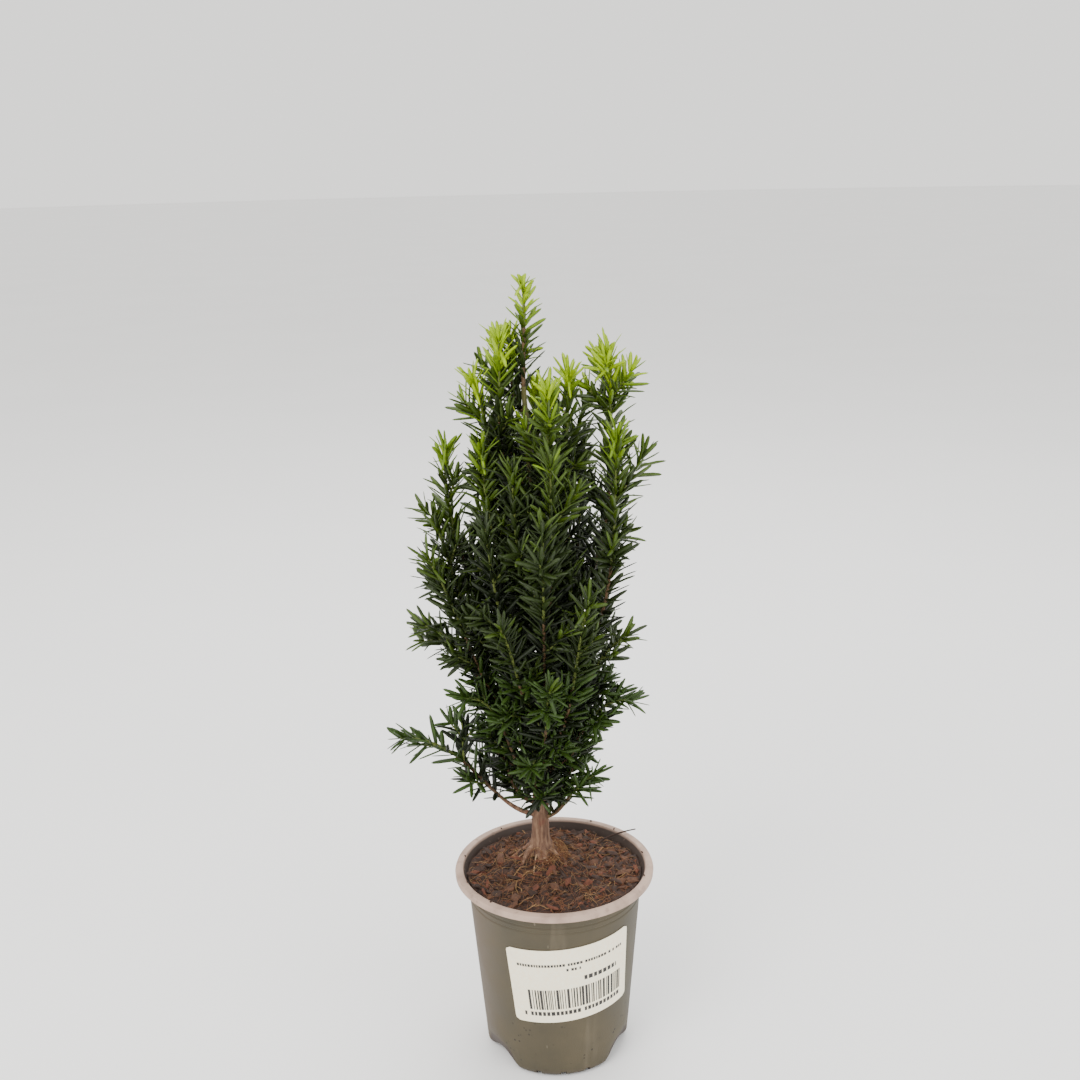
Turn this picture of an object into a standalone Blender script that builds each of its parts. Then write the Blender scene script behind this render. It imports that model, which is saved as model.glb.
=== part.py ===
"""A young hybrid yew of upright habit in its round nursery pot.

The pot is turned and has a rolled rim, three feet and small drain slots. It is filled
with bark compost, on which the trunk stands with its root flare. Boughs leave the trunk
at their own heights and turn upward. Each carries one mass of foliage: a stem that grows
on from the bough, side twigs that branch from it by a seeded rule, and needles drawn out
of the twigs' faces. Every mass keeps to the space nearer to its own stem than to any other.
"""

import bpy
import bmesh
import math
import numpy as np
from dataclasses import dataclass
from mathutils import Vector

# Clearance between neighbouring solids
GAP = 0.0003

# Pot
POT_HEIGHT = 0.130
RIM_RADIUS = 0.065
RIM_LIP = 0.0052
WALL_TOP_RADIUS = 0.0572
FOOT_RADIUS = 0.0474
WALL = 0.0014
FLOOR = 0.0030
FOOT_CORNER = 0.0060
POT_SEGMENTS = 36
FEET = 3
FOOT_TURN = math.radians(-86)
RECESS_WIDTH = math.radians(23)
RECESS_HEIGHT = 0.022
RECESS_DEPTH = 0.0056
RECESS_ROUNDING = 1.5
RECESS_FADE = 1.6
RECESS_LIFT = 0.9
FLAT_FLOOR = FOOT_RADIUS * 0.6
SLOTS_PER_FOOT = 3
SLOT_STEP = math.radians(20)
SLOT_SIZE = (0.009, 0.0036, 0.009)

# Compost
COMPOST_EDGE = 0.1205
COMPOST_FRONT_RISE = 0.0045
COMPOST_FLOOR = 0.0300
COMPOST_LUMP = 0.0016
COMPOST_RINGS = 5
COMPOST_CORE = FOOT_RADIUS * 0.46
OVER_RECESS = (FOOT_RADIUS * 0.65, 0.0133)
LUMP_WAVES = (410, 365, 790, 640)
MOUND_SPREAD = 0.026
SEAT_RADIUS = 0.016
SEAT_HEIGHT = 0.1317

# Label stuck on the wall
LABEL_WIDTH = 0.083
LABEL_HEIGHT = 0.055
LABEL_THICKNESS = 0.0004
LABEL_TURN = math.radians(-78.5)
LABEL_MIDDLE = 0.0735
LABEL_TILT = math.radians(4)

# Trunk: height, x, y and radius of each station, from the flat cut to the fork
TRUNK_STATIONS = (
    (0.1320, -0.0085, 0.0135, 0.0066),
    (0.1380, -0.0085, 0.0133, 0.0063),
    (0.1520, -0.0085, 0.0126, 0.0056),
    (0.1900, -0.0075, 0.0110, 0.0050),
    (0.2600, -0.0040, 0.0060, 0.0042),
    (0.3300, -0.0050, 0.0030, 0.0032),
    (0.4000, -0.0100, 0.0030, 0.0021),
    (0.4450, -0.0125, 0.0040, 0.0014),
)
TRUNK_RINGS = 22
FLARE_HEIGHT = 0.013
FLARE_SPREAD = 1.0
FLARE_ROOTS = 5
LEADER_TOP = 0.5145
LEADER_TIP = (-0.0115, 0.0050)
LEADER_SWAY = 0.0015

# Boughs
BOUGH_POINTS = 4
BOUGH_RADIUS = 0.0019
BOUGH_TIP_RADIUS = 0.0012
LEAVE_ANGLE = math.radians(18)
LEAVE_SHARE = 0.30
END_SHARE = 0.40

# Twigs and needles
NEEDLE = 0.0195
YOUNG_HEIGHT = 0.440
NEEDLE_SPACING = 0.0047
NEEDLE_ANGLE = math.radians(52)
NEEDLE_TIP_ANGLE = math.radians(24)
NEEDLE_HALF_WIDTH = 0.0014
STEM_RADIUS = 0.0014
STEM_TIP_RADIUS = 0.0008
NEEDLE_TRIES = (1.0, 0.8, 0.62, 0.45)
TWIG_RADIUS = 0.0009
TWIG_TIP_RADIUS = 0.0006
TWIG_LENGTH = 0.034
TWIG_ANGLE = math.radians(46)
TWIST = math.radians(23)
GOLDEN_ANGLE = math.radians(137.5)
TIP_REACH = 0.008
SPACE_MARGIN = 0.0005
SPACE_STEP = 0.003
BARE_FOOT = 0.005


@dataclass
class Shoot:
    """One bough with its foliage, named for where it stands in the crown."""

    name: str
    leaves: float  # height at which it leaves the trunk
    azimuth: float  # degrees, 0 to the right, 90 to the back
    reach: float  # from the trunk's axis out to its furthest needle tips
    top: float  # height of those tips
    lean: float  # degrees above level of its outer end
    bare: float  # share of its length that is bare bough, 0 for none
    twigs: int  # side twigs on its stem


SHOOTS = (
    Shoot("top_left_inner", 0.430, 138, 0.014, 0.479, 80, 0.00, 0),
    Shoot("top_left_outer", 0.385, -170, 0.018, 0.481, 88, 0.00, 1),
    Shoot("upper_left", 0.362, -178, 0.038, 0.457, 70, 0.00, 2),
    Shoot("top_front", 0.355, -72, 0.027, 0.454, 86, 0.00, 2),
    Shoot("top_right", 0.378, 4, 0.023, 0.459, 88, 0.00, 1),
    Shoot("right_tall", 0.300, 8, 0.043, 0.471, 92, 0.20, 2),
    Shoot("right_column", 0.262, -24, 0.050, 0.428, 89, 0.20, 2),
    Shoot("left_tall", 0.285, 180, 0.056, 0.416, 93, 0.20, 3),
    Shoot("left_inner", 0.318, -152, 0.038, 0.421, 88, 0.00, 2),
    Shoot("left_shoulder", 0.255, -170, 0.066, 0.373, 76, 0.20, 3),
    Shoot("left_middle", 0.225, -158, 0.075, 0.353, 62, 0.20, 3),
    Shoot("left_feather", 0.205, -168, 0.079, 0.302, 25, 0.20, 2),
    Shoot("left_low", 0.187, -143, 0.064, 0.259, 12, 0.20, 2),
    Shoot("lowest_left", 0.160, -160, 0.099, 0.231, 8, 0.25, 2),
    Shoot("lowest_right", 0.158, -26, 0.045, 0.198, 30, 0.00, 1),
    Shoot("right_middle", 0.222, -36, 0.070, 0.302, 35, 0.20, 2),
    Shoot("right_low", 0.192, -22, 0.069, 0.249, 2, 0.22, 2),
    Shoot("front_high", 0.290, -80, 0.040, 0.415, 84, 0.00, 2),
    Shoot("front_middle", 0.240, -88, 0.054, 0.379, 80, 0.18, 3),
    Shoot("front_high_left", 0.305, -116, 0.036, 0.408, 86, 0.00, 2),
    Shoot("front_right", 0.212, -62, 0.066, 0.334, 66, 0.00, 2),
    Shoot("front_left", 0.228, -112, 0.067, 0.317, 50, 0.00, 2),
    Shoot("front_low", 0.198, -84, 0.067, 0.276, 35, 0.00, 2),
    Shoot("front_lowest", 0.169, -98, 0.048, 0.214, 15, 0.00, 1),
    Shoot("left_front", 0.265, -134, 0.048, 0.374, 82, 0.00, 2),
    Shoot("back_top", 0.352, 86, 0.026, 0.448, 86, 0.00, 1),
    Shoot("back_high_left", 0.300, 130, 0.043, 0.405, 84, 0.00, 2),
    Shoot("back_high_right", 0.285, 52, 0.046, 0.414, 86, 0.00, 2),
    Shoot("back_middle", 0.250, 92, 0.056, 0.372, 80, 0.20, 2),
    Shoot("back_left", 0.222, 138, 0.064, 0.338, 62, 0.00, 2),
    Shoot("back_right", 0.218, 40, 0.066, 0.345, 66, 0.00, 2),
    Shoot("back_low", 0.190, 112, 0.064, 0.262, 25, 0.00, 1),
    Shoot("back_low_right", 0.178, 40, 0.062, 0.240, 20, 0.00, 1),
    Shoot("core_low_left", 0.168, -176, 0.028, 0.250, 80, 0.00, 1),
    Shoot("core_low_right", 0.174, -8, 0.030, 0.262, 82, 0.00, 1),
    Shoot("core_left", 0.238, -140, 0.026, 0.318, 84, 0.00, 1),
    Shoot("core_right", 0.246, -45, 0.027, 0.345, 86, 0.00, 1),
    Shoot("core_back", 0.232, 70, 0.027, 0.325, 84, 0.00, 1),
    Shoot("core_high", 0.325, 35, 0.020, 0.410, 86, 0.00, 0),
    Shoot("core_back_low", 0.172, 88, 0.028, 0.262, 84, 0.00, 1),
    Shoot("core_back_high", 0.300, 88, 0.026, 0.392, 87, 0.00, 0),
    Shoot("core_back_left", 0.262, 150, 0.027, 0.345, 84, 0.00, 1),
    Shoot("core_front", 0.275, -62, 0.020, 0.372, 88, 0.00, 0),
)


def clear_scene():
    for item in list(bpy.data.objects):
        bpy.data.objects.remove(item, do_unlink=True)


def collection(name):
    made = bpy.data.collections.new(name)
    bpy.context.scene.collection.children.link(made)
    return made


def material(name, colour, roughness):
    made = bpy.data.materials.new(name)
    made.use_nodes = True
    shader = made.node_tree.nodes["Principled BSDF"]
    shader.inputs["Base Color"].default_value = (*colour, 1.0)
    shader.inputs["Roughness"].default_value = roughness
    shader.inputs["Metallic"].default_value = 0.0
    return made


def place(name, mesh, finish, home):
    """A new object for mesh, in collection home."""
    thing = bpy.data.objects.new(name, mesh)
    mesh.materials.clear()
    mesh.materials.append(finish)
    home.objects.link(thing)
    return thing


def evaluated_mesh(thing):
    """The mesh of an object as its modifiers leave it, the object itself removed."""
    bpy.context.view_layer.update()
    seen = thing.evaluated_get(bpy.context.evaluated_depsgraph_get())
    mesh = bpy.data.meshes.new_from_object(seen)
    mesh.transform(thing.matrix_world)
    bpy.data.objects.remove(thing, do_unlink=True)
    return mesh


def smooth(mesh, degrees=35):
    mesh.shade_smooth()
    mesh.set_sharp_from_angle(angle=math.radians(degrees))


def turned(name, profile, segments, home):
    """A closed body turned about Z from a profile that runs down its outer side."""
    mesh = bpy.data.meshes.new(name)
    points = [(radius, 0.0, height) for radius, height in profile]
    mesh.from_pydata(points, [(i, i + 1) for i in range(len(points) - 1)], [])
    thing = bpy.data.objects.new(name, mesh)
    home.objects.link(thing)
    screw = thing.modifiers.new("Turn", "SCREW")
    screw.steps = screw.render_steps = segments
    screw.use_merge_vertices = True
    screw.merge_threshold = 0.00001
    return evaluated_mesh(thing)


def curve_tube(name, points, radii, sides, home):
    """A round tube through points, with filled ends and its own radius at each point."""
    curve = bpy.data.curves.new(name, "CURVE")
    curve.dimensions = "3D"
    curve.bevel_depth = 1.0
    curve.bevel_resolution = sides // 2 - 2
    curve.use_fill_caps = True
    spline = curve.splines.new("POLY")
    spline.points.add(len(points) - 1)
    for knot, point, radius in zip(spline.points, points, radii):
        knot.co = (*point, 1.0)
        knot.radius = radius
    thing = bpy.data.objects.new(name, curve)
    home.objects.link(thing)
    return thing


def mix(a, b, share):
    return a + (b - a) * share


# The pot and what fills it


def wall_radius(height):
    """Outer radius of the pot's tapered wall."""
    top = POT_HEIGHT - RIM_LIP
    return mix(FOOT_RADIUS, WALL_TOP_RADIUS, (height - FOOT_CORNER) / (top - FOOT_CORNER))


def foot_recess(angle, height):
    """How far in the wall's foot is drawn, in the hollows between the three feet."""
    period = 2 * math.pi / FEET
    off = (angle - FOOT_TURN + period / 2) % period - period / 2
    around = max(0.0, 1 - (abs(off) - period / 2) ** 2 / RECESS_WIDTH**2)
    up = max(0.0, 1 - height / RECESS_HEIGHT)
    return RECESS_DEPTH * around**RECESS_ROUNDING * up**RECESS_FADE


def draw_in_feet(mesh):
    for vert in mesh.vertices:
        radius = math.hypot(vert.co.x, vert.co.y)
        if radius < FLAT_FLOOR:
            continue
        angle = math.atan2(vert.co.y, vert.co.x)
        recess = foot_recess(angle, vert.co.z)
        keep = (radius - recess) / radius
        vert.co.x *= keep
        vert.co.y *= keep
        vert.co.z += recess * RECESS_LIFT * max(0.0, 1 - vert.co.z / RECESS_HEIGHT)


def pot_profile():
    """Rolled rim, wall, rounded foot and flat underside, then the inside back up."""
    top = POT_HEIGHT
    lip = top - RIM_LIP
    inner = wall_radius(lip) - WALL
    corner = FOOT_CORNER
    foot = wall_radius(corner)
    outside = [
        (inner + 0.0026, top - 0.0014),
        (inner + 0.0050, top),
        (RIM_RADIUS - 0.0012, top - 0.0008),
        (RIM_RADIUS, top - 0.0024),
        (RIM_RADIUS - 0.0006, lip),
        (RIM_RADIUS - 0.0022, lip - 0.0001),
        (RIM_RADIUS - 0.0034, lip + 0.0010),
        (wall_radius(lip), lip + 0.0006),
        (wall_radius(lip - 0.010), lip - 0.010),
        (wall_radius(0.070), 0.070),
        (wall_radius(RECESS_HEIGHT), RECESS_HEIGHT),
        (wall_radius(0.015), 0.015),
        (foot, corner + 0.002),
        (foot - corner * 0.35, corner * 0.28),
        (foot - corner, 0.0),
        (FOOT_RADIUS * 0.5, 0.0),
        (0.0, 0.0),
    ]
    inside = [
        (0.0, FLOOR),
        (FOOT_RADIUS * 0.5, FLOOR),
        (foot - corner, FLOOR),
        (foot - WALL * 1.6, corner + 0.002),
        (wall_radius(RECESS_HEIGHT) - WALL, RECESS_HEIGHT),
        (wall_radius(0.070) - WALL, 0.070),
        (inner, lip - 0.001),
    ]
    return outside + inside + outside[:1]


def make_slot_cutters():
    """One block for each drain slot, across the bottom corner of the feet."""
    cutters = collection("slot_cutters")
    radius = wall_radius(FOOT_CORNER) - FOOT_CORNER * 0.5
    for foot in range(FEET):
        for step in range(SLOTS_PER_FOOT):
            turn = FOOT_TURN + foot * 2 * math.pi / FEET
            turn += (step - (SLOTS_PER_FOOT - 1) / 2) * SLOT_STEP
            mesh = bpy.data.meshes.new("slot_cutter")
            shape = bmesh.new()
            bmesh.ops.create_cube(shape, size=1.0)
            bmesh.ops.scale(shape, verts=shape.verts, vec=SLOT_SIZE)
            shape.to_mesh(mesh)
            shape.free()
            cutter = bpy.data.objects.new(f"slot_cutter_{foot}_{step}", mesh)
            cutter.location = (radius * math.cos(turn), radius * math.sin(turn), 0.0)
            cutter.rotation_euler = (0.0, 0.0, turn)
            cutter.hide_render = True
            cutter.display_type = "WIRE"
            cutters.objects.link(cutter)
    return cutters


def make_pot(home, finish):
    mesh = turned("pot", pot_profile(), POT_SEGMENTS, home)
    draw_in_feet(mesh)
    smooth(mesh)
    pot = place("pot", mesh, finish, home)
    slots = pot.modifiers.new("Slots", "BOOLEAN")
    slots.operation = "DIFFERENCE"
    slots.operand_type = "COLLECTION"
    slots.collection = make_slot_cutters()
    slots.solver = "EXACT"


def compost_height(x, y):
    """The compost's surface: a mound round the trunk, higher to the front, with lumps."""
    foot = trunk_station(0)
    away = math.hypot(x - foot.x, y - foot.y)
    front = 0.5 - 0.5 * y / WALL_TOP_RADIUS
    edge = COMPOST_EDGE + COMPOST_FRONT_RISE * front
    mound = (SEAT_HEIGHT - edge) * math.exp(-((away / MOUND_SPREAD) ** 2))
    broad_x, broad_y, fine_x, fine_y = LUMP_WAVES
    lumps = math.sin(x * broad_x + 1.3) * math.sin(y * broad_y + 0.4)
    lumps += 0.6 * math.sin(x * fine_x - y * fine_y)
    height = edge + mound + COMPOST_LUMP * 0.6 * lumps * min(1.0, away / 0.03)
    if away < SEAT_RADIUS:
        return SEAT_HEIGHT
    return min(height, SEAT_HEIGHT - 0.0002)


def make_compost(home, finish):
    """A body that fills the pot, its rings drawn together round the trunk's foot."""
    edge_radius = wall_radius(COMPOST_EDGE) - WALL - GAP
    low_radius = wall_radius(COMPOST_FLOOR) - WALL - GAP
    base = FLOOR + GAP
    top = [(edge_radius * (i + 1) / COMPOST_RINGS, COMPOST_EDGE) for i in range(COMPOST_RINGS)]
    side = [(low_radius, COMPOST_FLOOR), OVER_RECESS, (COMPOST_CORE, base), (0.0, base)]
    mesh = turned("compost", [(0.0, COMPOST_EDGE), *top, *side], POT_SEGMENTS, home)
    foot = trunk_station(0)
    for vert in mesh.vertices:
        if vert.co.z < COMPOST_EDGE - 0.001:
            continue
        share = math.hypot(vert.co.x, vert.co.y) / edge_radius
        vert.co.x += foot.x * (1 - share)
        vert.co.y += foot.y * (1 - share)
        vert.co.z = compost_height(vert.co.x, vert.co.y) if share < 0.99 else rim_level(vert.co)
    smooth(mesh, 50)
    place("compost", mesh, finish, home)


def rim_level(spot):
    """Height of the compost where it meets the wall."""
    return COMPOST_EDGE + COMPOST_FRONT_RISE * (0.5 - 0.5 * spot.y / WALL_TOP_RADIUS) - 0.0015


def make_label(home, finish):
    """A thin sticker bent round the tapered wall."""
    mesh = bpy.data.meshes.new("label")
    shape = bmesh.new()
    bmesh.ops.create_grid(shape, x_segments=12, y_segments=1, size=0.5)
    for vert in shape.verts:
        across = vert.co.x * LABEL_WIDTH
        up = vert.co.y * LABEL_HEIGHT
        height = LABEL_MIDDLE + up * math.cos(LABEL_TILT) + across * math.sin(LABEL_TILT)
        slide = across * math.cos(LABEL_TILT) - up * math.sin(LABEL_TILT)
        turn = LABEL_TURN + slide / wall_radius(LABEL_MIDDLE)
        radius = wall_radius(height) + GAP
        vert.co = (radius * math.cos(turn), radius * math.sin(turn), height)
    shape.to_mesh(mesh)
    shape.free()
    label = place("label", mesh, finish, home)
    sheet = label.modifiers.new("Thickness", "SOLIDIFY")
    sheet.thickness = LABEL_THICKNESS
    sheet.offset = 1.0


# The trunk and the boughs


def trunk_station(index):
    height, x, y, _ = TRUNK_STATIONS[index]
    return Vector((x, y, height))


def trunk_at(height):
    """Centre and radius of the trunk at a height."""
    heights, xs, ys, radii = zip(*TRUNK_STATIONS)
    centre = Vector((np.interp(height, heights, xs), np.interp(height, heights, ys), height))
    return centre, float(np.interp(height, heights, radii))


def flare(mesh):
    """Spread the trunk's foot into a few surface roots, its end kept flat."""
    foot = trunk_station(0)
    for vert in mesh.vertices:
        above = vert.co.z - foot.z
        if above > FLARE_HEIGHT:
            continue
        above = max(0.0, above)
        angle = math.atan2(vert.co.y - foot.y, vert.co.x - foot.x)
        lobe = 0.72 + 0.28 * math.cos(FLARE_ROOTS * angle + 0.7)
        grow = 1 + FLARE_SPREAD * lobe * (1 - above / FLARE_HEIGHT) ** 2
        centre, _ = trunk_at(vert.co.z)
        vert.co.x = centre.x + (vert.co.x - centre.x) * grow
        vert.co.y = centre.y + (vert.co.y - centre.y) * grow


def make_trunk(home, finish):
    low = TRUNK_STATIONS[0][0]
    high = TRUNK_STATIONS[-1][0]
    heights = [mix(low, high, (i / TRUNK_RINGS) ** 1.5) for i in range(TRUNK_RINGS + 1)]
    stations = [trunk_at(height) for height in heights]
    tube = curve_tube("trunk", [c for c, _ in stations], [r for _, r in stations], 10, home)
    mesh = evaluated_mesh(tube)
    shape = bmesh.new()
    shape.from_mesh(mesh)
    bmesh.ops.remove_doubles(shape, verts=shape.verts, dist=0.00001)
    for vert in shape.verts:
        if vert.co.z < low + 0.0004:
            vert.co.z = low
    shape.to_mesh(mesh)
    shape.free()
    flare(mesh)
    smooth(mesh, 60)
    place("trunk", mesh, finish, home)


def shoot_path(shoot):
    """The curve of a shoot, from the trunk's bark to the end of its stem."""
    start, bark = trunk_at(shoot.leaves)
    turn = math.radians(shoot.azimuth)
    out = Vector((math.cos(turn), math.sin(turn), 0.0))
    lean = math.radians(shoot.lean)
    heading = out * math.cos(lean) + Vector((0.0, 0.0, math.sin(lean)))
    end = start + out * shoot.reach
    end.z = shoot.top
    end -= heading * TIP_REACH
    first = start + out * (bark + BOUGH_RADIUS * 0.35 + GAP)
    span = (end - first).length
    leave = out * math.cos(LEAVE_ANGLE) + Vector((0.0, 0.0, math.sin(LEAVE_ANGLE)))
    second = first + leave * span * LEAVE_SHARE
    third = end - heading * span * END_SHARE
    return lambda share: bezier(first, second, third, end, share)


def leader_path():
    """The topmost stem grows straight on from the trunk's fork."""
    start = trunk_station(-1) + Vector((0.0, 0.0, GAP))
    end = Vector((*LEADER_TIP, LEADER_TOP - TIP_REACH))
    sway = Vector((LEADER_SWAY, 0.0, 0.0))
    second = start + (end - start) * 0.35
    third = start + (end - start) * 0.7 + sway
    return lambda share: bezier(start, second, third, end, share)


def bezier(a, b, c, d, share):
    rest = 1 - share
    return a * rest**3 + b * 3 * rest**2 * share + c * 3 * rest * share**2 + d * share**3


def length_of(path, start=0.0, end=1.0, steps=40):
    points = [path(mix(start, end, i / steps)) for i in range(steps + 1)]
    return sum((b - a).length for a, b in zip(points, points[1:]))


def bough_radius(share, bare):
    return mix(BOUGH_RADIUS, BOUGH_TIP_RADIUS, share / bare)


def make_bough(shoot, path, home, finish):
    shares = [shoot.bare * i / (BOUGH_POINTS - 1) for i in range(BOUGH_POINTS)]
    radii = [bough_radius(share, shoot.bare) for share in shares]
    points = [path(share) for share in shares]
    bough = curve_tube(f"bough_{shoot.name}", points, radii, 6, home)
    bough.data.materials.append(finish)


# The space of each mass


class Space:
    """What one mass may fill: nearer to its own stem than to others, clear of the limbs."""

    def __init__(self, own, others, limbs):
        self.own = own
        self.others = others
        self.limbs = limbs[:, :3]
        self.limb_radii = limbs[:, 3]

    def holds(self, points, room, limb_room):
        spots = np.array([tuple(point) for point in points])
        mine = distances(spots, self.own).min(axis=1)
        theirs = distances(spots, self.others).min(axis=1)
        bark = (distances(spots, self.limbs) - self.limb_radii).min(axis=1)
        above_pot = spots[:, 2] > POT_HEIGHT + 0.004
        fits = (mine + 2 * room < theirs) & (bark > limb_room) & above_pot
        return bool(fits.all())


def distances(spots, points):
    return np.linalg.norm(spots[:, None, :] - points[None, :, :], axis=2)


def samples(path, start, end):
    count = max(4, int(length_of(path, start, end) / SPACE_STEP))
    return np.array([tuple(path(mix(start, end, i / count))) for i in range(count + 1)])


def limb_samples(shoots, paths):
    """Points along the trunk and every bough, each with its radius."""
    low = TRUNK_STATIONS[0][0]
    high = TRUNK_STATIONS[-1][0]
    rows = []
    for i in range(160):
        centre, radius = trunk_at(mix(low, high, i / 159))
        rows.append((*centre, radius))
    for shoot in shoots:
        for i in range(16):
            share = shoot.bare * i / 15
            if shoot.bare:
                rows.append((*paths[shoot.name](share), bough_radius(share, shoot.bare)))
    return np.array(rows)


# Twigs and needles


def frames(path, count, twist):
    """Points along a path, each with its heading and two side directions turned by twist."""
    side = None
    found = []
    for i in range(count + 1):
        here = path(i / count)
        ahead = path(min(1.0, (i + 0.5) / count))
        behind = path(max(0.0, (i - 0.5) / count))
        heading = (ahead - behind).normalized()
        guess = side if side else heading.orthogonal().normalized()
        side = (guess - heading * guess.dot(heading)).normalized()
        up = heading.cross(side)
        angle = twist * i
        turned_side = side * math.cos(angle) + up * math.sin(angle)
        found.append((here, heading, turned_side, heading.cross(turned_side)))
    return found


def needle_fits(root, tip, space):
    """Whether a needle from root to tip stays in its space, its sunk foot left out."""
    shares = np.array((0.2, 0.4, 0.6, 0.8, 1.0))
    spots = [root.lerp(tip, share) for share in shares]
    half_width = NEEDLE_HALF_WIDTH * (1 - shares)
    return space.holds(spots, SPACE_MARGIN + half_width, GAP + half_width)


@dataclass
class Growth:
    """What the needles of one mass share."""

    space: Space
    rng: np.random.Generator
    flatten: float  # how much they lie level, from 0 on an upright shoot


def twig(path, root_radius, tip_radius, needle, growth):
    """A three-sided twig with a needle drawn out of each of its side faces."""
    length = length_of(path)
    count = max(4, round(length / NEEDLE_SPACING))
    stations = frames(path, count, TWIST)
    shape = bmesh.new()
    ring = None
    sides = []
    for i, (here, heading, side, up) in enumerate(stations):
        radius = mix(root_radius, tip_radius, i / count)
        corners = []
        for corner in range(3):
            angle = corner * 2 * math.pi / 3
            spot = here + (side * math.cos(angle) + up * math.sin(angle)) * radius
            corners.append(shape.verts.new(spot))
        if ring is None:
            shape.faces.new(list(reversed(corners)))
        else:
            for corner in range(3):
                after = (corner + 1) % 3
                face = shape.faces.new((ring[corner], ring[after], corners[after], corners[corner]))
                sides.append((face, i))
        ring = corners
    tip_face = shape.faces.new(ring)
    for face, i in sides:
        share = i / count
        bend = growth.rng.uniform(-1, 1, 3)
        if share * length >= BARE_FOOT:
            draw_needle(shape, face, stations[i], share, needle, bend, growth)
    bud = bmesh.ops.poke(shape, faces=[tip_face])["verts"][0]
    bud.co = stations[-1][0] + stations[-1][1] * tip_radius * 3
    bmesh.ops.recalc_face_normals(shape, faces=shape.faces)
    mesh = bpy.data.meshes.new("twig")
    shape.to_mesh(mesh)
    shape.free()
    return mesh


def draw_needle(shape, face, station, share, needle, bend, growth):
    """Pull the middle of a twig's face out to a needle's point, if its space allows that."""
    here, heading, _, _ = station
    middle = face.calc_center_median()
    outward = middle - here
    outward = outward - heading * outward.dot(heading)
    outward.normalize()
    outward.z *= 1 - growth.flatten
    outward = (outward - heading * outward.dot(heading)).normalized()
    to_tip = max(0.0, (share - 0.75) / 0.25)
    angle = mix(NEEDLE_ANGLE, NEEDLE_TIP_ANGLE, to_tip)
    shrink = min(1.0, max(0.0, (here.z - YOUNG_HEIGHT) / (LEADER_TOP - YOUNG_HEIGHT)))
    reach = needle * mix(1.0, 0.62, to_tip) * mix(1.0, 0.6, shrink) * (1 + 0.10 * bend[0])
    if share < 0.12:
        reach *= 0.75
    across = heading.cross(outward)
    aim = heading * math.cos(angle) + outward * math.sin(angle) + across * 0.10 * bend[1]
    aim.normalize()
    for shorter in NEEDLE_TRIES:
        tip = middle + aim * reach * shorter
        if needle_fits(middle, tip, growth.space):
            bmesh.ops.poke(shape, faces=[face])["verts"][0].co = tip
            return


def side_twigs(shoot, path, start, space, rng):
    """Paths of the side twigs, turned about the stem by the golden angle."""
    length = length_of(path, start, 1.0)
    turn = rng.uniform(0, 2 * math.pi)
    found = []
    for i in range(shoot.twigs * 4):
        if len(found) == shoot.twigs:
            break
        along = mix(0.16, 0.68, (i % max(1, shoot.twigs) + 0.5) / max(1, shoot.twigs))
        share = mix(start, 1.0, along)
        turn += GOLDEN_ANGLE
        root = path(share)
        heading = (path(min(1.0, share + 0.02)) - path(share - 0.02)).normalized()
        side = heading.orthogonal().normalized()
        outward = side * math.cos(turn) + heading.cross(side) * math.sin(turn)
        aim = heading * math.cos(TWIG_ANGLE) + outward * math.sin(TWIG_ANGLE)
        reach = min(TWIG_LENGTH, length * (1.05 - along) * 0.75)
        lift = Vector((0.0, 0.0, reach * 0.16))
        spots = [root + aim * reach * part + lift * part**2 for part in (0.35, 0.6, 0.8, 1.0)]
        if space.holds(spots, SPACE_MARGIN + TWIG_RADIUS, GAP + TWIG_RADIUS + 0.001):
            found.append((root, aim * reach, lift))
    return found


def straight_path(root, run, lift):
    return lambda share: root + run * share + lift * share**2


def open_edges(mesh):
    shape = bmesh.new()
    shape.from_mesh(mesh)
    count = sum(1 for edge in shape.edges if len(edge.link_faces) != 2)
    shape.free()
    return count


def keep_main_body(mesh):
    """Weld, split the faces into triangles and drop loose scraps and sealed hollows."""
    shape = bmesh.new()
    shape.from_mesh(mesh)
    bmesh.ops.remove_doubles(shape, verts=shape.verts, dist=0.000002)
    bmesh.ops.dissolve_degenerate(shape, edges=shape.edges, dist=0.000002)
    bmesh.ops.triangulate(shape, faces=shape.faces)
    left = set(shape.faces)
    bodies = []
    while left:
        first = left.pop()
        body = [first]
        waiting = [first]
        while waiting:
            for edge in waiting.pop().edges:
                for face in edge.link_faces:
                    if face in left:
                        left.discard(face)
                        body.append(face)
                        waiting.append(face)
        bodies.append(body)
    bodies.sort(key=len, reverse=True)
    for body in bodies[1:]:
        bmesh.ops.delete(shape, geom=body, context="FACES")
    shape.to_mesh(mesh)
    shape.free()


def joined(stem, twigs, solver):
    """The stem with its side twigs fused on by one union."""
    helpers = collection("mass_helpers")
    for mesh in twigs:
        helpers.objects.link(bpy.data.objects.new("side_twig", mesh.copy()))
    base = bpy.data.objects.new("mass_stem", stem.copy())
    bpy.context.scene.collection.objects.link(base)
    union = base.modifiers.new("Fuse", "BOOLEAN")
    union.operation = "UNION"
    union.operand_type = "COLLECTION"
    union.collection = helpers
    union.solver = solver
    mesh = evaluated_mesh(base)
    for helper in list(helpers.objects):
        bpy.data.objects.remove(helper, do_unlink=True)
    bpy.data.collections.remove(helpers)
    keep_main_body(mesh)
    return mesh


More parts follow.
